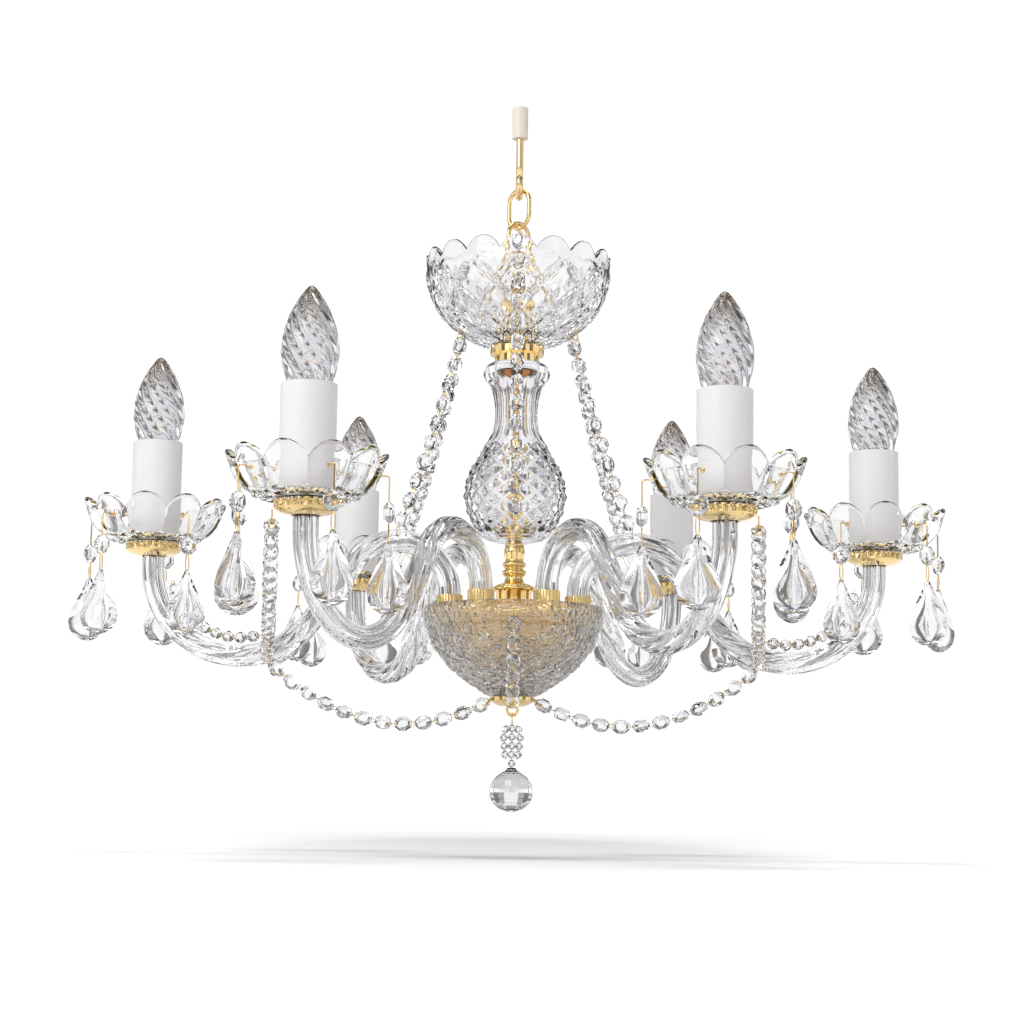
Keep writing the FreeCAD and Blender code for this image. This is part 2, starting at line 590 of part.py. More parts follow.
def glass_arm(number):
    """Hollow tube: up out of its cup, over the crest, down a straight and round the low bend to its seat."""
    label = f"arm_{number + 1}"
    body = new_body(label)
    path = new_sketch(body, f"{label}_path", "XZ_Plane")
    crest, bend, reach, rise = numbers("arm_crest_rise", "arm_crest_bend", "arm_reach", "arm_low_rise")
    start, low = cup_circle.value, low_bend.value
    end = S["pan_rise"] + S["seat_socket"]
    crest_centre = V(start + bend, crest, 0)
    low_centre = V(reach - low, rise, 0)
    between = low_centre - crest_centre
    lean = math.atan2(between.y, between.x) - math.asin((bend + low) / between.Length) + math.pi / 2
    outward = V(math.cos(lean), math.sin(lean), 0)
    leave, meet = crest_centre + outward * bend, low_centre - outward * low
    up = path.addGeometry(Part.LineSegment(V(start, 0, 0), V(start, crest, 0)), False)
    crest_circle = Part.Circle(crest_centre, V(0, 0, 1), bend)
    low_circle = Part.Circle(low_centre, V(0, 0, 1), low)
    over = path.addGeometry(Part.ArcOfCircle(crest_circle, lean, math.pi), False)
    down = path.addGeometry(Part.LineSegment(leave, meet), False)
    round_low = path.addGeometry(Part.ArcOfCircle(low_circle, lean + math.pi, 2 * math.pi), False)
    out = path.addGeometry(Part.LineSegment(V(reach, rise, 0), V(reach, end.value, 0)), False)
    for pair in ((up, 2, over, 2), (over, 1, down, 1), (down, 2, round_low, 1), (round_low, 2, out, 1)):
        path.addConstraint(Sketcher.Constraint("Tangent", *pair))
    path.addConstraint(Sketcher.Constraint("Vertical", up))
    path.addConstraint(Sketcher.Constraint("Vertical", out))
    path.addConstraint(Sketcher.Constraint("PointOnObject", up, 1, -1))
    bind(path, Sketcher.Constraint("DistanceX", -1, 1, up, 1, start), cup_circle)
    bind(path, Sketcher.Constraint("DistanceY", -1, 1, up, 2, crest), S["arm_crest_rise"])
    bind(path, Sketcher.Constraint("Radius", over, bend), S["arm_crest_bend"])
    bind(path, Sketcher.Constraint("Radius", round_low, low), low_bend)
    bind(path, Sketcher.Constraint("DistanceX", -1, 1, out, 1, reach), S["arm_reach"])
    bind(path, Sketcher.Constraint("DistanceY", -1, 1, out, 1, rise), S["arm_low_rise"])
    bind(path, Sketcher.Constraint("DistanceY", -1, 1, out, 2, end.value), end)
    section = new_sketch(body, f"{label}_section", "XY_Plane")
    for radius in (S["arm_diameter"] / 2, S["arm_bore"] / 2):
        ring_on_x(section, cup_circle, radius)
    doc.recompute()
    tube = body.newObject("PartDesign::AdditivePipe", f"{label}_tube")
    tube.Profile = section
    tube.Spine = (path, [f"Edge{edge}" for edge in range(1, 6)])
    path.Visibility = section.Visibility = False
    place(body, arm_seat, turn=spot(number)[0])
    return body


def pan_seat(number):
    """Brass seat on the arm's end: a socket for the arm below, a shallow cup for the pan and a nipple."""
    turn, x, y = spot(number)
    socket = S["arm_diameter"] / 2 + S["fit_gap"]
    rim = S["seat_radius"] - S["seat_rim"]
    nipple = S["nipple_diameter"] / 2
    return turned(f"pan_seat_{number + 1}", pan_level, [
        (socket, 0), (socket + S["seat_rim"], 0), (S["seat_radius"], S["seat_slope"], S["seat_radius"]),
        (S["seat_radius"], S["seat_height"]), (rim, S["seat_height"]), (rim, S["seat_floor"]),
        (nipple, S["seat_floor"]), (nipple, S["nipple_rise"]), (S["nipple_bore"] / 2, S["nipple_rise"]),
        (S["nipple_bore"] / 2, S["seat_socket"]), (socket, S["seat_socket"]),
    ], x, y, turn)


def drip_pan(number):
    """Glass pan with a petalled rim, drilled for the pendants' pins."""
    turn, x, y = spot(number)
    bore = S["nipple_diameter"] / 2 + S["fit_gap"]
    floor, wall, height, rim = S["pan_floor"], S["pan_wall"], S["pan_height"], S["pan_rim_radius"]
    foot = S["seat_height"] - S["seat_floor"] + S["running_gap"]
    pan = turned(f"drip_pan_{number + 1}", pan_floor_level, [
        (bore, 0), (S["pan_foot_radius"], 0), (S["pan_foot_radius"], foot),
        (S["pan_low_radius"], S["pan_low_rise"]),
        (S["pan_mid_radius"], S["pan_mid_rise"], S["pan_low_radius"]),
        (rim, height), (rim - wall, height), (S["pan_mid_radius"] - wall, S["pan_mid_rise"] + wall / 4),
        (S["pan_low_radius"] - wall, S["pan_low_rise"] + wall, -S["pan_low_radius"]),
        (S["pan_foot_radius"], floor), (bore, floor),
    ], x, y, turn)
    cut_petals(pan, count_of("pan_petals"), rim, wall, height, S["pan_scallop"], S["pan_petal_bend"])
    side = MIRROR_SIDE[number % len(MIRROR_SIDE)]
    pocket_round(pan, "pin_hole", "YZ_Plane", circle=(S["pin_hole"] / 2, S["pin_level"]),
                 length=rim + CUT_PAST, copies=count_of("pendant_holes"),
                 offset=side * S["pendant_phase"].value)
    return pan


def candle(number):
    """White cover over the lampholder, both standing on the pan."""
    turn, x, y = spot(number)
    outer = S["cover_diameter"] / 2
    cover = turned(f"cover_{number + 1}", cover_level, [
        (outer - S["cover_wall"], 0), (outer, 0), (outer, S["cover_height"]),
        (outer - S["cover_wall"], S["cover_height"]),
    ], x, y, turn)
    socket = S["cap_diameter"] / 2 + S["socket_gap"]
    nipple = S["nipple_diameter"] / 2 + S["fit_gap"]
    nipple_top = S["nipple_rise"] - S["seat_floor"] - S["pan_floor"] + S["fit_gap"]
    top = S["holder_height"]
    floor = top - S["socket_depth"]
    holder = turned(f"holder_{number + 1}", cover_level, [
        (nipple, 0), (S["holder_radius"], 0), (S["holder_radius"], top), (socket, top), (socket, floor),
        (0, floor), (0, nipple_top), (nipple, nipple_top),
    ], x, y, turn)
    return joined(f"candle_{number + 1}", [cover, holder])


def bulb(number):
    """Candle bulb: screw cap and glass, seated in its holder."""
    turn, x, y = spot(number)
    cap = S["cap_diameter"] / 2
    wide = S["bulb_diameter"] / 2
    height = S["bulb_height"]
    shoulder = S["bulb_shoulder_radius"]
    tip = S["bulb_tip_radius"]
    neck_rise = S["cap_height"] + S["running_gap"]
    return turned(f"bulb_{number + 1}", bulb_level, [
        (0, 0), (cap, 0), (cap, S["cap_height"]), (S["bulb_neck_radius"], neck_rise),
        (wide, S["bulb_wide_rise"], S["bulb_side_bend"]),
        (shoulder, height - S["bulb_shoulder_drop"], S["bulb_shoulder_bend"]), (tip, height - tip),
        (0, height),
    ], x, y, turn)


# ---------------------------------------------------------------- crystals
def cut_bead(start, end, radius):
    """Eight-sided bead, pointed at both ends, so that the next one touches it at the point."""
    along = (end - start).normalize()
    across = along.cross(V(0, 0, 1) if abs(along.z) < 0.9 else V(0, 1, 0)).normalize()
    third = along.cross(across)
    middle = (start + end) / 2
    ring = []
    for step in range(8):
        angle = math.radians(45 * step)
        ring.append(middle + across * (radius * math.cos(angle)) + third * (radius * math.sin(angle)))
    faces = []
    for step in range(8):
        follower = 2 + (step + 1) % 8
        faces += [(0, follower, 2 + step), (1, 2 + step, follower)]
    return faceted([start, end] + ring, faces)


def flat_octagon(centre, across, size, table, thickness):
    """Eight-sided crystal standing upright, with a flat table on each face."""
    depth = across.cross(V(0, 0, 1))
    corners = []
    for radius, offset in ((size / 2, 0), (table / 2, thickness / 2), (table / 2, -thickness / 2)):
        for step in range(8):
            angle = math.radians(22.5 + 45 * step)
            reach = radius / math.cos(math.radians(22.5))
            corners.append(centre + across * (reach * math.cos(angle)) + V(0, 0, reach * math.sin(angle))
                           + depth * offset)
    faces = [tuple(range(8, 16)), tuple(range(23, 15, -1))]
    for step in range(8):
        follower = (step + 1) % 8
        faces += [(step, follower, 8 + follower, 8 + step), (follower, step, 16 + step, 16 + follower)]
    return faceted(corners, faces)


def pear_drop(top, across, length, width, thickness):
    """Flat pear-shaped drop with a ridge point on each face; its outline is in shares of width and length."""
    half_outline = [(0.0, 0.0), (0.09, 0.05), (0.24, 0.25), (0.42, 0.5), (0.5, 0.7), (0.4, 0.88),
                    (0.18, 0.98), (0.0, 1.0)]
    ridge_share = 0.62
    outline = half_outline + [(-u, v) for u, v in half_outline[-2:0:-1]]
    depth = across.cross(V(0, 0, 1))
    corners = [top + across * (u * width) - V(0, 0, v * length) for u, v in outline]
    middle = top - V(0, 0, ridge_share * length)
    ridge = len(corners)
    corners += [middle + depth * (thickness / 2), middle - depth * (thickness / 2)]
    faces = []
    for step in range(ridge):
        follower = (step + 1) % ridge
        faces += [(step, follower, ridge), (follower, step, ridge + 1)]
    return faceted(corners, faces)


def pendant(number, hole):
    """Pin through the pan, octagon, link and drop, hanging in a row, in the chandelier's frame."""
    wire, bend, level, inside, hang, length = numbers(
        "pin_wire", "pin_bend", "pin_level", "pin_inside", "hang_radius", "hang_length")
    size, table, thick, link = numbers("octagon_size", "octagon_table", "octagon_thickness", "pendant_link")
    turn, x, y = spot(number)
    angle = math.radians(turn + hole)
    out, across = V(math.cos(angle), math.sin(angle), 0), V(-math.sin(angle), math.cos(angle), 0)
    up = V(0, 0, 1)
    base = V(x.value, y.value, pan_floor_level.value + level)
    knee = base + out * (hang - bend)
    low = base + out * hang - up * length
    pin = wire_rod([line_edge(base + out * inside, knee), arc_edge(knee - up * bend, bend, out, up, 90, 0),
                    line_edge(base + out * hang - up * bend, low)], wire)
    eye = low - up * size
    rod = wire_rod([line_edge(eye, eye - up * link)], wire)
    drop = pear_drop(eye - up * link, across, *numbers("drop_length", "drop_width", "drop_thickness"))
    return [pin, flat_octagon(low - up * (size / 2), across, size, table, thick), rod, drop]


def pendant_pair(number, name, holes):
    """Two pendants of one pan that swing about the line through their two holes."""
    side = MIRROR_SIDE[number % len(MIRROR_SIDE)]
    solids = [solid for hole in holes for solid in pendant(number, side * hole)]
    return feature(f"pendants_{name}_{number + 1}", Part.makeCompound(solids))


def sagging(start, end, sag):
    """Points of a string that hangs between two places, as a function of the share of its span."""
    def at(share):
        return start + (end - start) * share - V(0, 0, 4 * sag * share * (1 - share))
    return at


def beads_along(at, radius, pitch):
    """Equal beads end to end along a hanging line."""
    steps = 200
    samples = [at(step / steps) for step in range(steps + 1)]
    length = sum((samples[i + 1] - samples[i]).Length for i in range(steps))
    count = max(2, round(length / pitch))
    knots, travelled = [samples[0]], 0.0
    for i in range(steps):
        travelled += (samples[i + 1] - samples[i]).Length
        if travelled >= length * len(knots) / count - 1e-6 and len(knots) < count:
            knots.append(samples[i + 1])
    knots.append(samples[-1])
    return [cut_bead(knots[i], knots[i + 1], radius) for i in range(len(knots) - 1)]


def arm_point(number, reach, level):
    turn = math.radians(spot(number)[0])
    return V(reach * math.cos(turn), reach * math.sin(turn), level)


def pan_hole(number):
    """Inside end of the pan's free hole, the one that faces the column."""
    turn, x, y = spot(number)
    side = MIRROR_SIDE[number % len(MIRROR_SIDE)]
    angle = math.radians(turn + side * (S["pendant_phase"].value + 180))
    reach = S["pan_rim_radius"].value - S["pan_wall"].value / 4
    level = pan_floor_level.value + S["pin_level"].value + S["pin_hole"].value
    return V(x.value + reach * math.cos(angle), y.value + reach * math.sin(angle), level)


def upper_strands():
    """A pair of strings to each side, and the one down the front of the dish and the vase."""
    radius, pitch, pin, rim, wire = numbers(
        "bead_radius", "bead_pitch", "string_pin_radius", "dish_rim_radius", "pin_wire")
    spacing, crest_sag, pan_sag = numbers("string_spacing", "crest_string_sag", "pan_string_sag")
    start_level = dish_base.value + S["dish_low_rise"].value / 3
    crest_top = arm_seat + S["arm_crest_rise"] + S["arm_crest_bend"] + S["arm_diameter"] / 2
    crest_level = crest_top.value
    half_count = count_of("arm_count") // 2
    solids = []
    for side_arm, back_arm, side in ((0, 1, 1), (half_count, half_count - 1, -1)):
        hook = V(side * pin, 0, start_level)
        to_crest = sagging(hook, arm_point(side_arm, crest_reach.value, crest_level), crest_sag)
        to_pan = sagging(hook + V(side, spacing, 0), pan_hole(back_arm), pan_sag)
        solids += beads_along(to_crest, radius, pitch) + beads_along(to_pan, radius, pitch)
    front = -(rim + radius + wire)
    over_rim = dish_base.value + S["dish_height"].value + S["running_gap"].value + wire / 2
    inside = V(0, S["dish_wall"].value * 2 - rim, over_rim)
    hung = V(0, front, over_rim)
    solids.append(wire_rod([line_edge(inside, hung)], wire))
    top = hung - V(0, 0, wire / 2)
    solids += beads_along(sagging(top, V(0, front, crest_level), 0), radius, pitch)
    return feature("upper_strands", Part.makeCompound(solids))


def string_on_arm(side, radius, pitch):
    """Small beads that lie on the inner side of a side arm's low bend."""
    first, last = -14, -106
    lean = low_bend.value - S["arm_diameter"].value / 2 - radius - S["running_gap"].value
    reach = S["arm_reach"].value - low_bend.value
    centre = V(side * reach, 0, arm_seat.value + S["arm_low_rise"].value)

    def at(share):
        angle = math.radians(first + (last - first) * share)
        return centre + V(side * lean * math.cos(angle), 0, lean * math.sin(angle))
    return beads_along(at, radius, pitch)


def lower_strands():
    """To each side: a garland from the finial, a string on the side arm, and two swags to its neighbours."""
    radius, pitch, thick, seat, shift, wire = numbers(
        "bead_radius", "bead_pitch", "arm_diameter", "seat_radius", "tie_shift", "pin_wire")
    garland_sag, swag_sag, gap = numbers("garland_sag", "swag_sag", "running_gap")
    low = low_bend.value
    seat_edge = pan_level.value + S["seat_slope"].value
    tie_reach = S["arm_reach"].value - low - shift
    tie_level = arm_seat.value + S["arm_low_rise"].value - math.sqrt(low * low - shift * shift)
    finial_level = finial_bottom.value + S["finial_edge_rise"].value
    half_count = count_of("arm_count") // 2
    solids = []
    for arm, back, front, side in ((0, 1, 5, 1), (half_count, half_count - 1, half_count + 1, -1)):
        tie = arm_point(arm, tie_reach, tie_level)
        finial = V(side * S["finial_radius"].value, 0, finial_level)
        under = tie - V(0, 0, thick / 2 + gap)
        solids += beads_along(sagging(finial, under, garland_sag), radius, pitch)
        for neighbour, way in ((back, 1), (front, -1)):
            turn, x, y = spot(neighbour)
            edge = V(x.value + side * (seat + gap + wire / 2), y.value, seat_edge)
            hung = edge - V(0, 0, S["swag_hook"].value)
            foot = tie + V(0, way * (thick / 2 + gap), -thick / 3)
            solids.append(wire_rod([line_edge(edge, hung)], wire))
            solids += beads_along(sagging(hung, foot, swag_sag), radius, pitch)
        solids += string_on_arm(side, *numbers("small_bead_radius", "small_bead_pitch"))
    return feature("lower_strands", Part.makeCompound(solids))


def bead_drop():
    """Wire loop in the finial's eye and the short string that carries the ball."""
    wire, diameter, radius, pitch = numbers(
        "loop_wire", "loop_diameter", "drop_bead_radius", "drop_bead_pitch")
    loop = Part.makeTorus((diameter - wire) / 2, wire / 2, V(0, 0, loop_centre.value), V(1, 0, 0))
    top = loop_centre.value - diameter / 2
    string = [cut_bead(V(0, 0, top - pitch * step), V(0, 0, top - pitch * (step + 1)), radius)
              for step in range(count_of("drop_beads"))]
    return feature("bead_drop", Part.makeCompound([loop] + string))


def crystal_ball():
    ball = doc.addObject("Part::Sphere", "crystal_ball")
    ball.Label = "crystal_ball"
    ball.setExpression("Radius", (S["ball_diameter"] / 2).text)
    top = loop_centre - S["loop_diameter"] / 2 - S["drop_bead_pitch"] * count_of("drop_beads")
    place(ball, top - S["ball_diameter"] / 2)
    return ball


nodes = [
    ceiling_plug(), ceiling_hook(),
    chain_link("chain_link_upper", upper_link_top, -S["link_turn"].value),
    chain_link("chain_link_lower", lower_link_top, S["link_turn"].value),
    centre_stem(), top_dish(), dish_collar(), baluster_vase(), vase_spindle(), arm_hub(), wiring_cup(),
    terminal_block(), bottom_bowl(), bottom_finial(), upper_strands(), lower_strands(), bead_drop(),
    crystal_ball(),
]
for arm_number in range(count_of("arm_count")):
    nodes += [glass_arm(arm_number), pan_seat(arm_number), drip_pan(arm_number), candle(arm_number),
              bulb(arm_number)]
    phase = S["pendant_phase"].value
    spread = 360 / count_of("pendant_holes")
    nodes.append(pendant_pair(arm_number, "outer", (phase, phase - spread)))
    nodes.append(pendant_pair(arm_number, "side", (phase - 2 * spread, phase + spread)))

doc.recompute()
for item in doc.Objects:
    if "Invalid" in item.State or "Error" in item.State:
        raise RuntimeError(f"{item.Label} did not build: {item.State}")
for node in nodes:
    if node.Shape.isNull() or not node.Shape.isValid():
        raise RuntimeError(f"{node.Label} has no valid shape")

os.makedirs("parts", exist_ok=True)
for node in nodes:
    node.Shape.exportStep(f"parts/{node.Label}.step")
print(f"{len(nodes)} nodes written")
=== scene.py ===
# %% [markdown]
# # Six-arm crystal chandelier
#
# A six-arm crystal chandelier hangs from a ceiling hook: glass dish, vase and bowl threaded on a brass
# stem, six glass arms with drip pans and candle bulbs, and strings and pendants of cut crystal.
#
# The construction model has already fixed every size and joint. It could be given a finish and left at
# that, but its pieces are plain solids, and pressed glass lives from its cuts. So this script loads it as
# a frame, in metres with +Z up, the ceiling at z = 0 and the front towards -Y, and builds a finer mesh
# over each plain piece. The hook, the chain, the boss and the candle covers are right as they are and
# only get their finish.

# %%
import math

import bpy
import bmesh
from mathutils import Matrix, Vector


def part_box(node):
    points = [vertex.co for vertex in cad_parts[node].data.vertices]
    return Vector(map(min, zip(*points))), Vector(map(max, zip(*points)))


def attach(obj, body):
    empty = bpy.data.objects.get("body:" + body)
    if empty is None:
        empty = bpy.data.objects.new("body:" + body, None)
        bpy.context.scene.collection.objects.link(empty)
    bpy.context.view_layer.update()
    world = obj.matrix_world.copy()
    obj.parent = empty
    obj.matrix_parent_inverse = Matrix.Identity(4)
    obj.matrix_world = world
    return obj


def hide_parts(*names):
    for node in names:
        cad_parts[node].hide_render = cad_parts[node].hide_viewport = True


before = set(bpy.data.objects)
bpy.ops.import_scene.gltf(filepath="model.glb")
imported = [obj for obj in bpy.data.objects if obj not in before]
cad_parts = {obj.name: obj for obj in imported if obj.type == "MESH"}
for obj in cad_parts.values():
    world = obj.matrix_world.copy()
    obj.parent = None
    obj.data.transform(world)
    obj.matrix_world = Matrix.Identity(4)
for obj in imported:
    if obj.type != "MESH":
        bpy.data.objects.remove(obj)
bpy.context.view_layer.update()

UP = Vector((0, 0, 1))
ARMS = range(1, 7)
SIDES = (-1, 1)


def mm(value):
    """A length in millimetres, as metres."""
    return value / 1000


def millimetres(pairs):
    """(r, z) pairs given in millimetres, as metres."""
    return [(mm(r), mm(z)) for r, z in pairs]


def round_axis(radius, angle, level=0.0):
    """The point at a radius and an angle round Z."""
    return Vector((radius * math.cos(angle), radius * math.sin(angle), level))


def arm_angle(arm):
    """Direction of an arm; the first points right and the rest follow anticlockwise."""
    return math.radians(60 * (arm - 1))


def centre(node):
    low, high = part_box(node)
    return (low + high) / 2


def bottom(node):
    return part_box(node)[0].z


def top(node):
    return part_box(node)[1].z


# %% [markdown]
# ## Camera
#
# The photograph looks slightly up at the chandelier from just under its pans, and leans by less than a
# degree. A camera can be placed by eye or worked out: here its distance, its height, its lens and its two
# turns were fitted to points that could be measured both in the photograph and on the frame, so that both
# pictures overlay.

# %%
LENS, SENSOR_WIDTH = 77.3, 36
CAMERA_PLACE = Vector((-mm(2), -mm(1485.4), -mm(472.9)))
CAMERA_PITCH, CAMERA_ROLL = math.radians(98.03), math.radians(0.8)


def make_camera():
    data = bpy.data.cameras.new("camera")
    data.lens, data.sensor_width = LENS, SENSOR_WIDTH
    camera = bpy.data.objects.new("camera", data)
    turn = Matrix.Rotation(CAMERA_PITCH, 4, "X") @ Matrix.Rotation(CAMERA_ROLL, 4, "Z")
    camera.matrix_world = Matrix.Translation(CAMERA_PLACE) @ turn
    bpy.context.collection.objects.link(camera)
    bpy.context.scene.camera = camera
    print("camera at", [round(value, 3) for value in camera.matrix_world.translation], "lens", data.lens)


make_camera()


# %% [markdown]
# ## Helpers for shader nodes
#
# Every finish below is a small node tree around one Principled shader. Adding, filling and linking nodes
# by hand takes three lines each time, so fill() and add_node() do it in one: an input gets a plain value,
# or a link when the value is another node's output. Noise, a ramp and a bump are enough here: real brass
# and glass differ from a flat colour mostly by faint patches, fine lines and a slightly uneven skin.

# %%
def new_material(name):
    material = bpy.data.materials.new(name)
    material.use_nodes = True
    tree = material.node_tree
    return material, tree, tree.nodes["Principled BSDF"]


def fill(tree, node, inputs):
    for name, value in inputs.items():
        if isinstance(value, bpy.types.NodeSocket):
            tree.links.new(value, node.inputs[name])
        else:
            node.inputs[name].default_value = value


def add_node(tree, kind, inputs=None, **settings):
    """A new node; its settings come first, since they can change which inputs it has."""
    node = tree.nodes.new(kind)
    for name, value in settings.items():
        setattr(node, name, value)
    fill(tree, node, inputs or {})
    return node


def maths(tree, operation, *inputs):
    """Result of a sum on numbers or on outputs of other nodes."""
    return add_node(tree, "ShaderNodeMath", dict(enumerate(inputs)), operation=operation).outputs[0]


def object_place(tree):
    return add_node(tree, "ShaderNodeTexCoord").outputs["Object"]


def noise(tree, scale, detail=3.0, stretch=(1, 1, 1)):
    """Noise in the object's own space, drawn out along an axis where stretch is small there."""
    scaled = add_node(tree, "ShaderNodeMapping", {"Vector": object_place(tree), "Scale": stretch})
    return add_node(tree, "ShaderNodeTexNoise", {"Vector": scaled.outputs["Vector"], "Scale": scale,
                                                 "Detail": detail}).outputs["Fac"]


def ramp(tree, factor, stops):
    """Colour ramp through (place, colour) stops."""
    node = add_node(tree, "ShaderNodeValToRGB", {"Fac": factor})
    elements = node.color_ramp.elements
    while len(elements) < len(stops):
        elements.new(0.5)
    for element, (place, colour) in zip(elements, stops):
        element.position = place
        element.color = (*colour, 1)
    return node.outputs["Color"]


def value_range(tree, factor, low, high, first=0.0, last=1.0):
    """The factor's stretch from first to last, carried over to low and high."""
    return add_node(tree, "ShaderNodeMapRange", {"Value": factor, "From Min": first, "From Max": last,
                                                 "To Min": low, "To Max": high}).outputs["Result"]


def bump(tree, height, strength, distance):
    return add_node(tree, "ShaderNodeBump", {"Height": height, "Strength": strength,
                                             "Distance": distance}).outputs["Normal"]


# %% [markdown]
# ## Finishes
#
# Cut glass bends and mirrors the room, so it needs hardly any colour of its own: a grey tint sets how
# dark its folds look, and a little wave in the skin keeps reflections from being ruler-straight. The
# pressed pans carry a thin rainbow film. Plated brass is a metal with fine turning lines, and the covers
# are satin plastic that lets a little light in. Each finish is one function, so that its variants differ
# only in the values given here.

# %%
GLASS_INDEX, FILM_INDEX = 1.52, 1.24


def chips(tree, scale):
    """Height of a skin that is covered with small ground facets."""
    inputs = {"Vector": object_place(tree), "Scale": scale}
    return add_node(tree, "ShaderNodeTexVoronoi", inputs, feature="F1").outputs["Distance"]


def glass(name, tint, wave, wave_scale, rough=0.015, film=0, ground=0):
    """Clear glass: wavy or finely ground skin, patches of a finer gloss, and a rainbow film in nanometres."""
    material, tree, shader = new_material(name)
    skin = chips(tree, ground) if ground else noise(tree, wave_scale, detail=2)
    patches = noise(tree, wave_scale * 0.4, detail=1)
    lighter = tuple(min(1.0, part + 0.015) for part in tint)
    fill(tree, shader, {
        "Transmission Weight": 1.0, "IOR": GLASS_INDEX, "Thin Film Thickness": film,
        "Thin Film IOR": FILM_INDEX, "Base Color": ramp(tree, patches, [(0.35, tint), (0.65, lighter)]),
        "Roughness": value_range(tree, patches, rough * 0.3, rough),
        "Normal": bump(tree, skin, wave, mm(1.2) if ground else mm(0.4))})
    return material


def brass(name, colour, rough, grain=(1, 1, 1), grain_scale=300):
    """Polished brass plate: soft gold with fine turning or drawing lines and slightly duller patches."""
    material, tree, shader = new_material(name)
    lines = noise(tree, grain_scale, detail=4, stretch=grain)
    patches = noise(tree, 40, detail=2)
    darker = tuple(part * 0.88 for part in colour)
    fill(tree, shader, {
        "Metallic": 1.0, "Base Color": ramp(tree, patches, [(0.3, darker), (0.7, colour)]),
        "Roughness": value_range(tree, lines, rough * 0.6, rough * 1.4),
        "Normal": bump(tree, lines, 0.12, mm(0.08))})
    return material


def plastic(name, colour, rough, glow=0.0):
    """Moulded plastic: satin skin with faint mottling and a fine upright grain."""
    material, tree, shader = new_material(name)
    grain = noise(tree, 180, detail=3, stretch=(1, 1, 0.15))
    patches = noise(tree, 30, detail=3)
    darker = tuple(part * 0.965 for part in colour)
    fill(tree, shader, {
        "Subsurface Weight": glow, "Subsurface Radius": (mm(2), mm(1.6), mm(1.2)),
        "Base Color": ramp(tree, patches, [(0.35, darker), (0.65, colour)]),
        "Roughness": value_range(tree, grain, rough * 0.85, rough * 1.15),
        "Normal": bump(tree, grain, 0.1, mm(0.1))})
    return material


cut_glass = glass("cut_glass", tint=(0.93, 0.93, 0.945), wave=0.3, wave_scale=140)
dish_glass = glass("dish_glass", tint=(0.885, 0.885, 0.9), wave=0.5, wave_scale=160)
frosted_glass = glass("frosted_glass", tint=(0.94, 0.93, 0.92), wave=1.0, wave_scale=140, ground=380)
ball_glass = glass("ball_glass", tint=(0.86, 0.85, 0.855), wave=0.05, wave_scale=200, rough=0.005)
pressed_glass = glass("pressed_glass", tint=(0.94, 0.945, 0.95), wave=0.45, wave_scale=90, film=320)
tube_glass = glass("tube_glass", tint=(0.94, 0.942, 0.95), wave=0.3, wave_scale=70)
crystal = glass("crystal", tint=(0.945, 0.945, 0.955), wave=0.05, wave_scale=200, rough=0.005)
turned_brass = brass("turned_brass", colour=(0.93, 0.69, 0.32), rough=0.1, grain=(0.2, 0.2, 1))
cup_brass = brass("cup_brass", colour=(0.82, 0.62, 0.36), rough=0.24, grain=(0.2, 0.2, 1))
wire_brass = brass("wire_brass", colour=(0.88, 0.64, 0.30), rough=0.2, grain_scale=500)
hook_brass = brass("hook_brass", colour=(0.86, 0.63, 0.33), rough=0.2, grain=(1, 1, 0.2))
cover_white = plastic("cover_white", (0.945, 0.935, 0.93), rough=0.3, glow=0.25)
flex_clear = plastic("flex_clear", (0.88, 0.85, 0.80), rough=0.25, glow=0.3)
plug_cream = plastic("plug_cream", (0.90, 0.84, 0.72), rough=0.45)
block_white = plastic("block_white", (0.82, 0.81, 0.78), rough=0.4)
print("finishes made:", len(bpy.data.materials))


# %% [markdown]
# ## Turning a list of points into a piece
#
# Every piece ends as one mesh at the origin, closed, with its normals outwards, so that it can follow its
# joint. Blender could add cones, bevels and booleans instead, but points worked out in rings give even
# quads and exact edges, and a whole wall thickness in one go, which glass needs to bend light as it
# should.

# %%
SHARP_EDGE = math.radians(38)


def new_piece(name, vertices, faces, material, flat=False):
    """Mesh object at the origin, with its place in its mesh and its normals outwards."""
    mesh = bpy.data.meshes.new(name)
    mesh.from_pydata([tuple(vertex) for vertex in vertices], [], faces)
    work = bmesh.new()
    work.from_mesh(mesh)
    bmesh.ops.remove_doubles(work, verts=work.verts, dist=mm(0.005))
    bmesh.ops.recalc_face_normals(work, faces=work.faces)
    for face in work.faces:
        face.smooth = not flat
    work.to_mesh(mesh)
    work.free()
    if not flat:
        mesh.set_sharp_from_angle(angle=SHARP_EDGE)
    mesh.materials.append(material)
    piece = bpy.data.objects.new(name, mesh)
    bpy.context.collection.objects.link(piece)
    print(name, len(mesh.polygons), "faces")
    return piece


def joined(parts):
    """Vertices and faces of several (vertices, faces) parts as one."""
    vertices, faces = [], []
    for part_vertices, part_faces in parts:
        shift = len(vertices)
        vertices += part_vertices
        faces += [tuple(index + shift for index in face) for face in part_faces]
    return vertices, faces


def moved(part, matrix):
    vertices, faces = part
    return [matrix @ Vector(vertex) for vertex in vertices], faces


def loop_grid(rows, closed=True):
    """Faces between rows of equal length that each close on themselves."""
    length = len(rows[0])
    vertices = [vertex for row in rows for vertex in row]
    faces = []
    for row in range(len(rows) if closed else len(rows) - 1):
        after = (row + 1) % len(rows)
        for step in range(length):
            follower = (step + 1) % length
            faces.append((row * length + step, row * length + follower, after * length + follower,
                          after * length + step))
    return vertices, faces


# %% [markdown]
# ## Profiles, shells, turned pieces and tubes
#
# Dish, vase, bowl, pans and bulbs are glass shells of revolution whose outer skin is cut. A shell is
# swept from two profiles, an outer and an inner one. At each angle a relief function lifts or lowers the
# skin along its normal, as a cutting wheel or a press mould would. Brass is turned from one profile, and
# arms and wires are tubes.

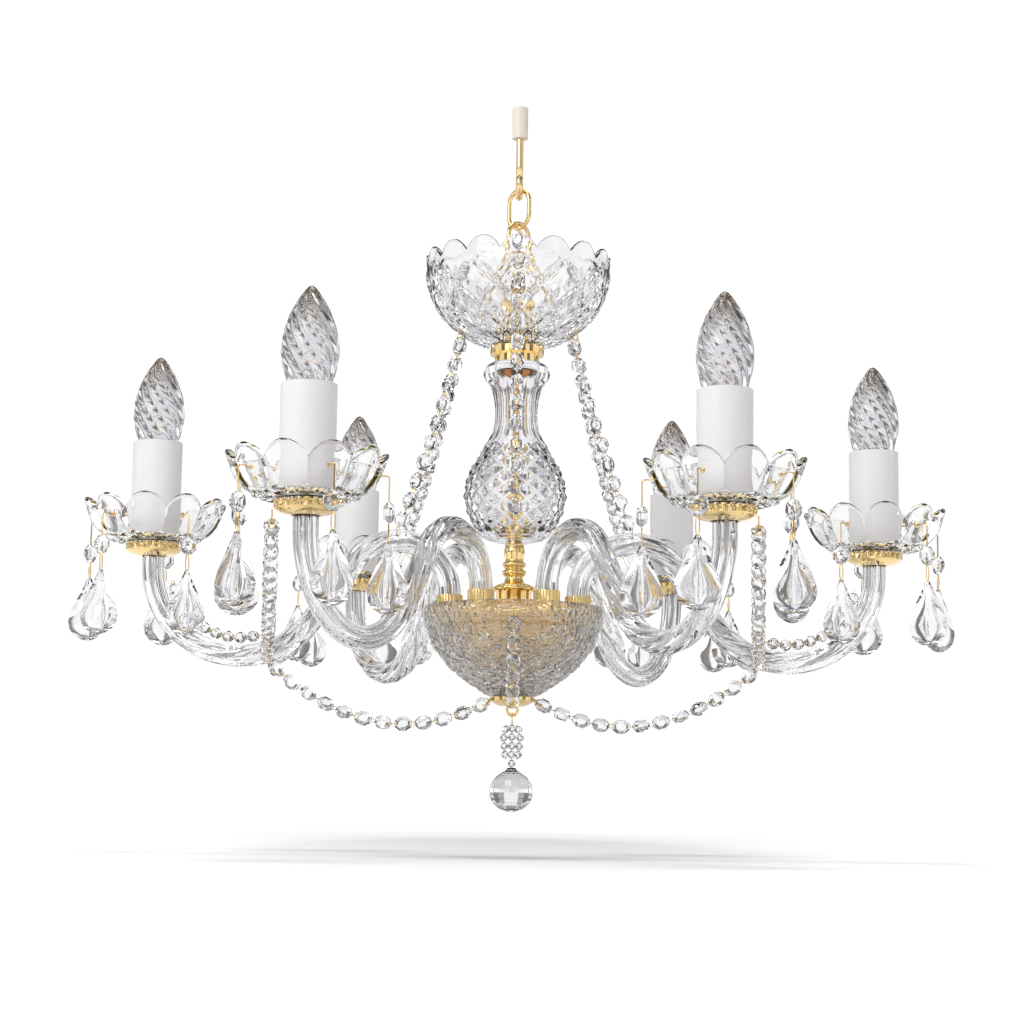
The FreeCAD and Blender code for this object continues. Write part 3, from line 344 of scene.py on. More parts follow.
# %%
def smooth_line(points, steps=12):
    """Points of a smooth curve through the given ones, with slopes held back so that it can't overshoot."""
    vectors = [Vector(point) for point in points]
    padded = [vectors[0] * 2 - vectors[1]] + vectors + [vectors[-1] * 2 - vectors[-2]]
    line = []
    for index in range(1, len(padded) - 2):
        before, start, end, after = padded[index - 1:index + 3]
        first, last = (end - before) / 2, (after - start) / 2
        reach = (end - start).length
        first *= reach / max(first.length, 1e-9) if first.length > reach else 1
        last *= reach / max(last.length, 1e-9) if last.length > reach else 1
        for step in range(steps):
            t = step / steps
            line.append(start * (2 * t ** 3 - 3 * t ** 2 + 1) + first * (t ** 3 - 2 * t ** 2 + t)
                        + end * (3 * t ** 2 - 2 * t ** 3) + last * (t ** 3 - t ** 2))
    return line + [vectors[-1]]


class Line:
    """A line that can be read at any share of its length."""

    def __init__(self, points):
        self.points = [Vector(point) for point in points]
        self.lengths = [0.0]
        for start, end in zip(self.points, self.points[1:]):
            self.lengths.append(self.lengths[-1] + (end - start).length)

    def at(self, share):
        wanted = min(max(share, 0.0), 1.0) * self.lengths[-1]
        reached = enumerate(self.lengths[1:])
        index = next((i for i, length in reached if length >= wanted), len(self.points) - 2)
        span = max(self.lengths[index + 1] - self.lengths[index], 1e-12)
        return self.points[index].lerp(self.points[index + 1], (wanted - self.lengths[index]) / span)

    def normal(self, share):
        """Unit normal of an (r, z) line that runs upwards, away from the axis."""
        along = self.at(share + 0.004) - self.at(share - 0.004)
        return Vector((along[1], -along[0])).normalized()


def shell(outer, inner, level, around, rows, reach=None, relief=None, inner_relief=None,
          x=0.0, y=0.0, turn=0.0, rim_rows=3):
    """Closed glass shell of revolution between two (r, z) lines that run from the foot to the rim.

    reach(angle) gives the share of the lines that is left at an angle, which shapes the rim.
    relief(angle, share) raises the outer skin along its normal, and inner_relief the inner one.
    """
    outer, inner = Line(outer), Line(inner)
    columns = []
    for step in range(around):
        angle = 2 * math.pi * step / around
        left = reach(angle) if reach else 1.0
        skins = []
        for line, lift in ((outer, relief), (inner, inner_relief)):
            skin = []
            for row in range(rows + 1):
                share = left * row / rows
                point = line.at(share)
                if lift:
                    point = point + line.normal(share) * lift(angle, share)
                skin.append(point)
            skins.append(skin)
        over = (skins[0][-1] - skins[0][-2]).normalized()
        middle, half = (skins[0][-1] + skins[1][-1]) / 2, (skins[0][-1] - skins[1][-1]) / 2
        rim = []
        for row in range(1, rim_rows + 1):
            bend = math.pi * row / (rim_rows + 1)
            rim.append(middle + half * math.cos(bend) + over * half.length * math.sin(bend))
        columns.append(skins[0] + rim + skins[1][::-1])
    place = Matrix.Translation((x, y, level)) @ Matrix.Rotation(turn, 4, "Z")
    lengthwise = []
    for row in range(len(columns[0])):
        ring = []
        for step, column in enumerate(columns):
            r, z = column[row]
            ring.append(place @ round_axis(r, 2 * math.pi * step / around, z))
        lengthwise.append(ring)
    return loop_grid(lengthwise)


def turned(outline, level, around, x=0.0, y=0.0, relief=None, lift=None):
    """Piece turned round Z from (r, z) points; relief and lift (angle, index) are added to r and z."""
    rings = []
    for index, (r, z) in enumerate(outline):
        ring = []
        for step in range(around):
            angle = 2 * math.pi * step / around
            wide = r + (relief(angle, index) if relief else 0.0)
            high = z + (lift(angle, index) if lift else 0.0)
            ring.append(Vector((x, y, level)) + round_axis(wide, angle, high))
        rings.append(ring)
    return loop_grid(rings)


def tube(points, radius, around=8, section=None, inner=None, side=None):
    """Tube along points. section(angle, share) gives its outer radius, inner a bore, and side its frame."""
    line = [Vector(point) for point in points]
    outer_rings, inner_rings = [], []
    last = len(line) - 1
    tangents = [(line[min(i + 1, last)] - line[max(i - 1, 0)]).normalized() for i in range(len(line))]
    across = side or tangents[0].orthogonal().normalized()
    for index, (point, along) in enumerate(zip(line, tangents)):
        across = (across - along * across.dot(along)).normalized()
        third = along.cross(across)
        share = index / (len(line) - 1)
        for rings, wanted in ((outer_rings, radius), (inner_rings, inner)):
            if wanted is None:
                continue
            ring = []
            for step in range(around):
                angle = 2 * math.pi * step / around
                reach = section(angle, share) if section and rings is outer_rings else wanted
                ring.append(point + across * (reach * math.cos(angle)) + third * (reach * math.sin(angle)))
            rings.append(ring)
    if inner is not None:
        return loop_grid(outer_rings + inner_rings[::-1])
    vertices, faces = loop_grid(outer_rings, closed=False)
    end = len(vertices) - around
    return vertices, faces + [tuple(range(around))[::-1], tuple(range(end, end + around))]


# %% [markdown]
# ## Relief of cut glass
#
# Two families of slanting lines that cross give the rhombi which cover this glass. A displacement texture
# could carry them, but a function of angle and height is sharper and wraps round the piece without a
# seam. Two more helpers say where an angle falls in a petal, and fade one pattern into the next.

# %%
def ease(value, low, high):
    """0 below low, 1 above high and smooth between them."""
    share = min(max((value - low) / (high - low), 0.0), 1.0)
    return share * share * (3 - 2 * share)


def petal_place(angle, petals, turn=0.0):
    """-1 to 1 across the petal that the angle falls in, 0 at its middle."""
    share = (angle - turn) * petals / (2 * math.pi)
    return 2 * (share - round(share))


def lattice(across, along, width):
    """0 to 1: how near a point is to the crossing ridges of a rhombus lattice, in cells."""
    nearest = 1.0
    for place in (across + along, across - along):
        nearest = min(nearest, abs(place - round(place)))
    return max(0.0, 1 - nearest / width)


# %% [markdown]
# ## Dish
#
# The deep dish at the top of the column has sixteen petals round its rim and broad double ridges that
# cross in large rhombi. The petals come from a rim whose reach changes with the angle, and the ridges
# from the lattice.

# %%
DISH_PETALS = 16
DISH_RHOMBI = 12


def make_dish():
    """Deep dish: sixteen petals, double ridges that cross in large rhombi, and fine cuts between them."""
    outer = smooth_line(millimetres([(4.2, 0), (20, 0), (40, 10), (55.5, 25), (63.2, 44), (64.4, 63.4)]), 16)
    inner = smooth_line(millimetres([(4.2, 3.5), (19, 3.5), (37.5, 13), (52, 27.5), (59.6, 45),
        (61.2, 63.4)]), 16)
    scallop = 0.085
    front = math.radians(-90)

    def reach(angle):
        return 1 - scallop * abs(petal_place(angle, DISH_PETALS, front)) ** 2.2

    def relief(angle, share):
        across = (angle - front) * DISH_RHOMBI / (2 * math.pi)
        along = (0.86 - share) * 2.8
        ridges = max(lattice(across + shift, along, 0.09) for shift in (-0.08, 0.08))
        fine = lattice(across * 2, along * 2, 0.5) * ease(share, 0.15, 0.3)
        petal = 1 - abs(petal_place(angle, DISH_PETALS, front)) ** 2
        body = ease(share, 0.1, 0.2) * (1 - ease(share, 0.86, 0.9))
        rim = mm(0.6) * petal * ease(share, 0.86, 0.97)
        return body * (mm(1.5) * ridges - mm(0.9) * fine) + rim - mm(0.9)

    def inner_relief(angle, share):
        ripple = lattice((angle - front) * DISH_RHOMBI / math.pi, share * 4, 0.5)
        return mm(0.8) * ripple * ease(share, 0.2, 0.3) * (1 - ease(share, 0.86, 0.92))

    part = shell(outer, inner, bottom("top_dish"), 384, 120, reach, relief, inner_relief)
    dish = new_piece("dish_glass", *part, dish_glass)
    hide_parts("top_dish")
    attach(dish, "chandelier")


make_dish()


# %% [markdown]
# ## Vase
#
# The baluster vase hides the stem. Its belly is cut in pointed diamonds, its neck in flat panels, and its
# lip is left plain. One relief function fades from one pattern to the next along the height.

# %%
def make_vase():
    """Baluster vase: diamonds cut all over the belly, flat panels up the neck and a plain rolled lip."""
    outer = smooth_line(millimetres([(4.2, 0), (18.6, 0), (30, 11), (35.8, 30), (32.6, 47), (24, 62),
        (17.2, 76), (16, 90), (18.5, 104), (23.2, 115), (21.6, 120.3)]), 16)
    inner = smooth_line(millimetres([(4.2, 4.5), (15, 4.5), (26, 14), (31, 30), (28, 46), (19.5, 61),
        (12.6, 76), (11.6, 90), (13, 104), (15.5, 114), (16, 120.3)]), 16)
    panels, diamonds = 8, 14

    def relief(angle, share):
        belly = ease(share, 0.13, 0.17) * (1 - ease(share, 0.56, 0.62))
        across = angle * diamonds / (2 * math.pi)
        cuts = lattice(across, share * 13, 0.5)
        neck = ease(share, 0.6, 0.66) * (1 - ease(share, 0.86, 0.95))
        panel = petal_place(angle, panels) ** 2
        return -mm(0.2) - mm(2.2) * belly * cuts - mm(1.5) * neck * (1 - panel)

    part = shell(outer, inner, bottom("baluster_vase"), 280, 170, relief=relief)
    vase = new_piece("vase_glass", *part, cut_glass)
    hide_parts("baluster_vase")
    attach(vase, "chandelier")


make_vase()


# %% [markdown]
# ## Bowl
#
# The bowl closes the column below the hub and shows the brass inside through its cuts. Large rhombi are
# cut deep, and a fine lattice between them frosts the glass, under a plain rounded band at the rim.

# %%
def make_bowl():
    """Bottom bowl: plain rounded rim band over deep rhombi and a fine lattice that closes at the foot."""
    outer = smooth_line(millimetres([(4.2, 0), (16, 0), (30, 8), (43, 18), (56, 34), (61, 50),
        (61.8, 59.2)]), 16)
    inner = smooth_line(millimetres([(4.2, 4), (14, 4), (27.5, 11), (39.5, 20.5), (52, 36), (57, 50.5),
        (57.9, 59.2)]), 16)
    cells = 16

    def relief(angle, share):
        across = angle * cells / (2 * math.pi)
        cuts = lattice(across, share * 5, 0.3)
        fine = lattice(across * 4, share * 20, 0.5)
        body = ease(share, 0.12, 0.2) * (1 - ease(share, 0.83, 0.86))
        band = ease(share, 0.85, 0.87) * (1 - ease(share, 0.98, 1.0))
        return -mm(0.7) - body * (mm(1.7) * cuts + mm(0.7) * fine) + mm(0.5) * band

    part = shell(outer, inner, bottom("bottom_bowl"), 320, 145, relief=relief)
    bowl = new_piece("bowl_glass", *part, frosted_glass)
    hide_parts("bottom_bowl")
    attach(bowl, "chandelier")


make_bowl()


# %% [markdown]
# ## Hub and spindle
#
# The hub carries six ribbed cups on a round plate, and the spindle above it is turned on a lathe. Both
# could be bevelled cylinders, but a profile turned round Z gives their beads and coves directly, and a
# cosine gives the ribs.

# %%
STEM_HOLE = mm(4.2)
CUP_CIRCLE = mm(43.5)


def ribbed(teeth, depth, angle):
    return -depth * (0.5 + 0.5 * math.cos(teeth * angle)) ** 2


def make_hub():
    """Plate with rounded edge, drum and flange, and six upright ribbed cups that hold the arms."""
    level = bottom("arm_hub")
    high = top("arm_hub") - level
    plate = smooth_line(millimetres([(53, 0), (53.5, 0.5), (53.5, 1.5), (53, 2)]), 3)
    outline = [(STEM_HOLE, 0)] + [tuple(point) for point in plate]
    outline += [(mm(13), mm(2)), (mm(12), mm(2.6)), (mm(12), high - mm(3)), (mm(12.6), high - mm(2)),
                (mm(15), high - mm(2)), (mm(15.3), high - mm(1.6)), (mm(15.3), high - mm(0.4)),
                (mm(15), high), (STEM_HOLE, high)]
    parts = [turned(outline, level, 128)]
    cup = millimetres([(8.1, 2), (8.9, 2), (9, 2.6), (9, 15.2), (8.7, 16), (8.1, 16), (7.95, 15.6),
        (7.95, 2.4)])
    for arm in ARMS:
        place = round_axis(CUP_CIRCLE, arm_angle(arm))
        parts.append(turned(cup, level, 144, place.x, place.y,
                            lambda angle, index: ribbed(24, mm(0.5), angle) if index in (2, 3) else 0.0))
    hub = new_piece("hub_brass", *joined(parts), turned_brass)
    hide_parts("arm_hub")
    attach(hub, "chandelier")


def make_spindle():
    """Turned spindle: domed top, two rings close together and a flared foot."""
    level = bottom("vase_spindle")
    outline = smooth_line(millimetres([(12.8, 0), (12.8, 1.2), (7.2, 4), (6.2, 7), (8.2, 9.5), (8.2, 11),
        (6.3, 13), (8, 15), (8, 16.5), (6.2, 18.5), (7.2, 24), (6.4, 29), (5.2, 32)]), 6)
    points = [(STEM_HOLE, 0)] + [tuple(point) for point in outline] + [(STEM_HOLE, mm(32))]
    spindle = new_piece("spindle_brass", *turned(points, level, 96), turned_brass)
    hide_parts("vase_spindle")
    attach(spindle, "chandelier")


make_hub()
make_spindle()


# %% [markdown]
# ## Seats
#
# A brass saucer holds each pan from below. Its upright rim is fluted and its edge toothed like a little
# crown, so the same turned profile gets two reliefs: one that draws the flutes in and one that lowers the
# edge between them.

# %%
SEAT_TEETH = 24


def make_seats():
    """Seat under each pan: dished saucer whose upright rim is fluted like a little crown."""
    outline = smooth_line(millimetres([(8.2, 0), (9.6, 0), (14.5, 1.2), (18.3, 3.2)]), 5)
    points = [tuple(point) for point in outline]
    rim_start = len(points)
    points += millimetres([(18.9, 3.8), (19, 5), (19, 8.2), (18.7, 8.7), (18.1, 8.7), (17.9, 8.2),
        (17.9, 6), (4.0, 6), (4.0, 18), (2.5, 18), (2.5, 4.5), (7.9, 4.5)])
    flutes, crown = range(rim_start + 1, rim_start + 4), range(rim_start + 2, rim_start + 6)

    def fluted(angle, index):
        return ribbed(SEAT_TEETH, mm(1.0), angle) if index in flutes else 0.0

    def toothed(angle, index):
        return ribbed(SEAT_TEETH, mm(1.5), angle) if index in crown else 0.0

    for arm in ARMS:
        place = centre(f"pan_seat_{arm}")
        part = turned(points, bottom(f"pan_seat_{arm}"), 192, place.x, place.y, fluted, toothed)
        seat = new_piece(f"seat_brass_{arm}", *part, turned_brass)
        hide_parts(f"pan_seat_{arm}")
        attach(seat, "chandelier")


make_seats()


# %% [markdown]
# ## Arms
#
# Each arm is a glass tube that rises from its cup, bends over a crest, sinks to a low bend and rises to
# its pan. Its ribs wind along it, and a twisted twin wire shows inside. A curve with a bevel could give
# the tube, but the winding ribs need a section that turns with the length, so the tube is built ring by
# ring along the centre line.

# %%
ARM_RADIUS = mm(7.7)
ARM_BORE = mm(4.5)
ARM_FLUTES = 9
ARM_TWIST = math.radians(200)
CREST = (mm(79.5), mm(15), mm(36))
LOW_BEND = (mm(185), mm(31), mm(60))
ARM_END = mm(42.5)


def arm_path():
    """Centre line of an arm in its own upright plane: up, over the crest, down, round the low bend and up."""
    crest, low = Vector(CREST[:2]), Vector(LOW_BEND[:2])
    between = low - crest
    crossing = math.asin((CREST[2] + LOW_BEND[2]) / between.length)
    lean = math.atan2(between.y, between.x) - crossing + math.pi / 2
    points = [Vector((crest.x - CREST[2], crest.y * step / 4)) for step in range(4)]
    for step in range(37):
        angle = math.pi + (lean - math.pi) * step / 36
        points.append(crest + Vector((math.cos(angle), math.sin(angle))) * CREST[2])
    start, end = points[-1], low - Vector((math.cos(lean), math.sin(lean))) * LOW_BEND[2]
    points += [start.lerp(end, step / 5) for step in range(1, 5)]
    for step in range(49):
        angle = lean + math.pi + (math.pi - lean) * step / 48
        points.append(low + Vector((math.cos(angle), math.sin(angle))) * LOW_BEND[2])
    points.append(Vector((low.x + LOW_BEND[2], ARM_END)))
    return points


def arm_section(angle, share):
    """Rounded ribs with sharp hollows between them, which wind slowly along the tube."""
    twist = ARM_TWIST * ease(share, 0.12, 0.9)
    place = petal_place(angle + twist, ARM_FLUTES)
    return ARM_RADIUS - mm(1.5) * abs(place) ** 2.5


def make_arms():
    seat_level = bottom("arm_hub") + mm(2)
    for arm in ARMS:
        out = round_axis(1, arm_angle(arm))
        side = UP.cross(out)
        path = [out * point.x + UP * (seat_level + point.y) for point in arm_path()]
        line = Line(path)
        even = [line.at(step / 150) for step in range(151)]
        part = tube(even, ARM_RADIUS, around=ARM_FLUTES * 8, section=arm_section, inner=ARM_BORE, side=side)
        glass_tube = new_piece(f"arm_glass_{arm}", *part, tube_glass)
        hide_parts(f"arm_{arm}")
        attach(glass_tube, "chandelier")
        wires = []
        for way in SIDES:
            strand = []
            for step in range(91):
                share = step / 90
                point = line.at(share)
                ahead = line.at(min(share + 0.01, 1.0)) - line.at(max(share - 0.01, 0.0))
                third = ahead.normalized().cross(side)
                wind = share * 9 * math.pi
                strand.append(point + (side * math.cos(wind) + third * math.sin(wind)) * mm(0.75) * way)
            wires.append(tube(strand, mm(0.65)))
        wire = new_piece(f"arm_wire_{arm}", *joined(wires), flex_clear)
        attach(wire, "chandelier")


make_arms()


# %% [markdown]
# ## Drip pans
#
# Under each candle sits a pressed glass pan with ten cupped petals and a star round its foot. The petals
# are cupped by moving both skins together, and the lip is thickened by moving only the inner one.

# %%
PAN_PETALS = 10


def make_pans():
    """Each pan: ten cupped petals with creases between them, and a pointed star pressed round its foot."""
    outer = smooth_line(millimetres([(4.3, 0), (17.4, 0), (17.5, 2.8), (27, 4.6), (36.5, 8.4), (42.6, 16),
        (47.8, 30)]), 12)
    inner = smooth_line(millimetres([(4.3, 5), (15, 5), (20, 6), (27.5, 7.4), (34.6, 11), (40.1, 17.6),
        (45.4, 30)]), 12)

    def reach(angle):
        return 1 - 0.165 * abs(petal_place(angle, PAN_PETALS)) ** 1.9

    def relief(angle, share):
        place = abs(petal_place(angle, PAN_PETALS))
        crease = place ** 6
        star = max(0.0, 1 - abs(share - 0.34 - 0.14 * (1 - place)) / 0.055)
        leaf = max(0.0, 1 - abs(share - 0.52 + 0.14 * (1 - place)) / 0.055)
        petals = ease(share, 0.45, 0.8)
        skin = mm(0.8) * petals * (1 - place ** 2) - mm(2.2) * petals * crease
        return skin + mm(1.7) * max(star, leaf) - mm(0.5)

    def inner_relief(angle, share):
        place = abs(petal_place(angle, PAN_PETALS))
        petals = ease(share, 0.45, 0.8)
        lip = ease(share, 0.82, 0.93)
        return mm(1.8) * petals * (1 - place ** 2) - mm(1.9) * petals - mm(1.1) * lip

    for arm in ARMS:
        place = centre(f"pan_seat_{arm}")
        part = shell(outer, inner, bottom(f"drip_pan_{arm}"), 240, 64, reach, relief, inner_relief, place.x,
                     place.y, turn=arm_angle(arm) + math.radians(18))
        pan = new_piece(f"pan_glass_{arm}", *part, pressed_glass)
        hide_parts(f"drip_pan_{arm}")
        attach(pan, "chandelier")


make_pans()


# %% [markdown]
# ## Candle bulbs
#
# The bulbs are flame-shaped, with ribs that wind round thick glass and a tip that looks smoky where the
# glass was drawn off. Ribs only on the outer skin make each one a lens, which gives the crossing pattern
# that is seen from outside. Cap, stem and filament inside are simple turned pieces and tubes, as they are
# seen through that glass.

# %%
def make_bulb_glass():
    """Thin clear glass with a faint wave in its skin and a tip that turns smoky."""
    material, tree, shader = new_material("bulb_glass")
    level = bottom("bulb_1")
    height = add_node(tree, "ShaderNodeSeparateXYZ", {"Vector": object_place(tree)}).outputs["Z"]
    rise = value_range(tree, height, 0, 1, level + mm(70), level + mm(97.6))
    clear, dimmer, smoky = (0.84, 0.84, 0.86), (0.74, 0.72, 0.70), (0.26, 0.19, 0.13)
    fill(tree, shader, {
        "Transmission Weight": 1.0, "IOR": 1.46, "Roughness": 0.02,
        "Base Color": ramp(tree, rise, [(0.0, clear), (0.5, dimmer), (0.95, smoky)]),
        "Normal": bump(tree, noise(tree, 90, detail=2), 0.2, mm(0.3))})
    return material


def make_bulbs():
    glass_material = make_bulb_glass()
    outer = smooth_line(millimetres([(9.3, 25.4), (10.5, 31), (14.6, 42), (17.4, 56), (16, 69),
        (11.6, 82), (6, 91.5), (2.6, 96), (0, 97.5)]), 10)
    wall = mm(1.7)
    line = Line(outer)
    inner = [line.at(step / 80) - line.normal(step / 80) * wall for step in range(77)]
    inner = [(max(point[0], 0.0), point[1]) for point in inner] + [(0.0, mm(96.2))]
    ribs = 14

    def winding(angle, share):
        fade = ease(share, 0.06, 0.2) * (1 - ease(share, 0.86, 0.97))
        place = petal_place(angle + share * math.radians(165), ribs)
        return -mm(1.2) * fade * abs(place) ** 2

    threads = millimetres([(2.5, 0), (4, 1.2), (6.2, 3)])
    for step in range(33):
        threads.append((mm(6.6) + mm(0.35) * math.cos(step * math.pi / 2), mm(3.5) + mm(0.62) * step))
    threads += millimetres([(9, 24.5), (9.2, 25.6), (8.4, 25.6), (0, 25.6), (0, 0)])
    for arm in ARMS:
        place, level = centre(f"bulb_{arm}"), bottom(f"bulb_{arm}")
        part = shell(outer, inner, level, 140, 80, relief=winding, x=place.x, y=place.y, rim_rows=0)
        envelope = new_piece(f"bulb_envelope_{arm}", *part, glass_material)
        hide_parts(f"bulb_{arm}")
        cap = new_piece(f"bulb_cap_{arm}", *turned(threads, level, 64, place.x, place.y), wire_brass)
        stem_line = millimetres([(0.1, 26), (6.5, 26.2), (4, 31), (2.6, 37), (2.4, 46), (1.5, 48),
            (0, 48.3)])
        stem = new_piece(f"bulb_stem_{arm}", *turned(stem_line, level, 32, place.x, place.y), crystal)
        base = Vector((place.x, place.y, level))
        leads = []
        for way in SIDES:
            bends = [base + Vector((way * mm(x), 0, mm(z))) for x, z in ((1, 42), (1.6, 48), (3, 53))]
            leads.append(tube(bends, mm(0.25), around=6))
        arch = [base + Vector((mm(3) * math.cos(step * math.pi / 12), 0,
                               mm(53) + mm(5) * math.sin(step * math.pi / 12))) for step in range(13)]
        leads.append(tube(arch, mm(0.2), around=6))
        filament = new_piece(f"bulb_filament_{arm}", *joined(leads), wire_brass)
        for piece in (envelope, cap, stem, filament):
            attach(piece, f"bulb_{arm}")


make_bulbs()


# %% [markdown]
# ## Cut crystals
#
# Octagons, drops and beads are cut from clear crystal. A cut stone is a stack of rings: a small table, a
# wider crown and a girdle, and the same again on the back. Flat faces between the rings are the facets,
# and few of them are needed, which matters because these stones are repeated hundreds of times.

# %%
def cut_solid(rings):
    """Faceted solid from rings of equal length, closed by a flat table at each end."""
    vertices, faces = loop_grid(rings, closed=False)
    length, last = len(rings[0]), len(vertices) - len(rings[0])
    return vertices, faces + [tuple(range(length))[::-1], tuple(range(last, last + length))]


def octagon_crystal(width, thickness, height):
    """Octagon that stands upright facing +Y: table, crown facets and a narrow girdle on both sides."""
    rings = []
    for radius, depth in ((0.58, -0.5), (0.8, -0.34), (1.0, -0.08), (1.0, 0.08), (0.8, 0.34), (0.58, 0.5)):
        ring = []
        for step in range(8):
            spot = round_axis(radius / 2, math.radians(22.5 + 45 * step))
            ring.append(Vector((spot.x * width, depth * thickness, spot.y * height)))
        rings.append(ring)
    return cut_solid(rings)


def almond_crystal(length, width, thickness):
    """Drop that hangs from its point at the origin, facing +Y: curved sides that meet in a ridge."""
    half = [(0.05, 0.0), (0.13, 0.12), (0.25, 0.28), (0.37, 0.44), (0.46, 0.58), (0.5, 0.7), (0.46, 0.82),
            (0.34, 0.92), (0.16, 0.985), (0.04, 1.0)]
    outline = half + [(-u, v) for u, v in half[::-1]]
    middle = 0.6
    rings = []
    shares = (0.06, 0.3, 0.55, 0.78, 0.93, 1.0)
    for across, face in [(share, -1) for share in shares] + [(share, 1) for share in shares[::-1]]:
        along = 0.7 + 0.3 * across
        depth = face * (0.04 + 0.46 * (1 - 0.4 * across - 0.6 * across ** 2))
        rings.append([Vector((u * across * width, depth * thickness,
                              -(middle + (v - middle) * along) * length)) for u, v in outline])
    return cut_solid(rings)


def bead_crystal(radius, length):
    """Faceted bead along +Z: a belt of eight facets and pointed shoulders with small end tables."""
    rings = []
    shoulders = ((0.3, -0.5, 0), (0.78, -0.3, 22.5), (1.0, 0.0, 0), (0.78, 0.3, 22.5), (0.3, 0.5, 0))
    for reach, place, turn in shoulders:
        rings.append([round_axis(reach * radius, math.radians(turn + 45 * step), place * length)
                      for step in range(8)])
    return cut_solid(rings)


def bow_link(length, width, wire):
    """Flat oval of brass wire along +Z that joins two crystals."""
    points = [Vector((width / 2 * math.sin(angle), 0, length / 2 * math.cos(angle)))
              for angle in [2 * math.pi * step / 14 for step in range(15)]]
    return tube(points, wire / 2, around=6)


# %% [markdown]
# ## Pendants
#
# A brass pin goes through a hole in the pan and bends down. It holds an octagon, a link and a drop. Each
# drop hangs loosely, so it faces its own way. The pendants of one side share a joint, so they are joined
# into one piece for each finish: octagons, drops and brass.

# %%
PENDANT_HOLES = {"outer": (18, -54), "side": (-126, 90)}
MIRROR_SIDE = {1: 1, 2: -1, 3: 1, 4: -1, 5: -1, 6: 1}
PIN_RISE = mm(18.5)
HANG_RADIUS = mm(48.5)


def pendant_parts(arm, hole):
    """Octagon, drop and brass parts of one pendant, in the row frame."""
    seat = centre(f"pan_seat_{arm}")
    angle = arm_angle(arm) + math.radians(MIRROR_SIDE[arm] * hole)
    out = round_axis(1, angle)
    level = bottom(f"drip_pan_{arm}") + PIN_RISE
    base = Vector((seat.x, seat.y, level))
    bend = mm(1.5)
    corner = base + out * (HANG_RADIUS - bend)
    pin = [base + out * mm(39.6), corner]
    for turn in (math.radians(30), math.radians(60), math.radians(90)):
        pin.append(corner - UP * bend + (out * math.sin(turn) + UP * math.cos(turn)) * bend)
    low = base + out * HANG_RADIUS - UP * mm(15)
    pin.append(low - UP * mm(1.5))
    facing = Matrix.Rotation(angle - math.pi / 2, 4, "Z")
    octagon = octagon_crystal(mm(13.2), mm(6.8), mm(13.2))
    octagon = moved(octagon, Matrix.Translation(low - UP * mm(6.75)) @ facing)
    eye = low - UP * mm(13.5)
    link = moved(bow_link(mm(12.4), mm(2.4), mm(0.8)), Matrix.Translation(eye - UP * mm(5)) @ facing)
    loose = Matrix.Rotation(math.radians(30) * math.sin(3 * angle + arm), 4, "Z")
    drop = moved(almond_crystal(mm(43), mm(27), mm(10)), Matrix.Translation(eye - UP * mm(10)) @ loose)
    head = turned(millimetres([(0, 0), (1.3, 0.2), (1.6, 0.8), (1.2, 1.4), (0, 1.6)]), 0, 12)
    outwards = out.to_track_quat("-Z", "Y").to_matrix().to_4x4()
    head = moved(head, Matrix.Translation(base + out * mm(39.4)) @ outwards)
    return octagon, drop, [tube(pin, mm(0.5)), link, head]


def make_pendants():
    for arm in ARMS:
        for name, holes in PENDANT_HOLES.items():
            octagons, drops, wires = [], [], []
            for hole in holes:
                octagon, drop, brass_parts = pendant_parts(arm, hole)
                octagons.append(octagon)
                drops.append(drop)
                wires += brass_parts
            node = f"pendants_{name}_{arm}"
            octagon = new_piece(f"pendant_octagons_{name}_{arm}", *joined(octagons), crystal, flat=True)
            drop = new_piece(f"pendant_drops_{name}_{arm}", *joined(drops), crystal)
            wire = new_piece(f"pendant_pins_{name}_{arm}", *joined(wires), wire_brass)
            for piece, slot in ((octagon, "crystal"), (drop, "crystal"), (wire, "brass")):
                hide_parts(node)
                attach(piece, node)


make_pendants()


# %% [markdown]
# ## Node tree that strings crystals
#
# The strings are one bead after another, joined by brass links. They could be placed by hand or by a
# loop; a Geometry Nodes tree does it once for every string. It resamples a line into steps, puts a link
# at each knot and a bead in the middle of each step, turns them by turns, adds a little chance from a
# fixed seed, and at its end makes the copies real and sets their materials.

# %%
def hidden_object(name, part, material, flat):
    """A mesh that the node tree repeats; it isn't itself in the scene."""
    piece = new_piece(name, *part, material, flat)
    bpy.context.collection.objects.unlink(piece)
    return piece


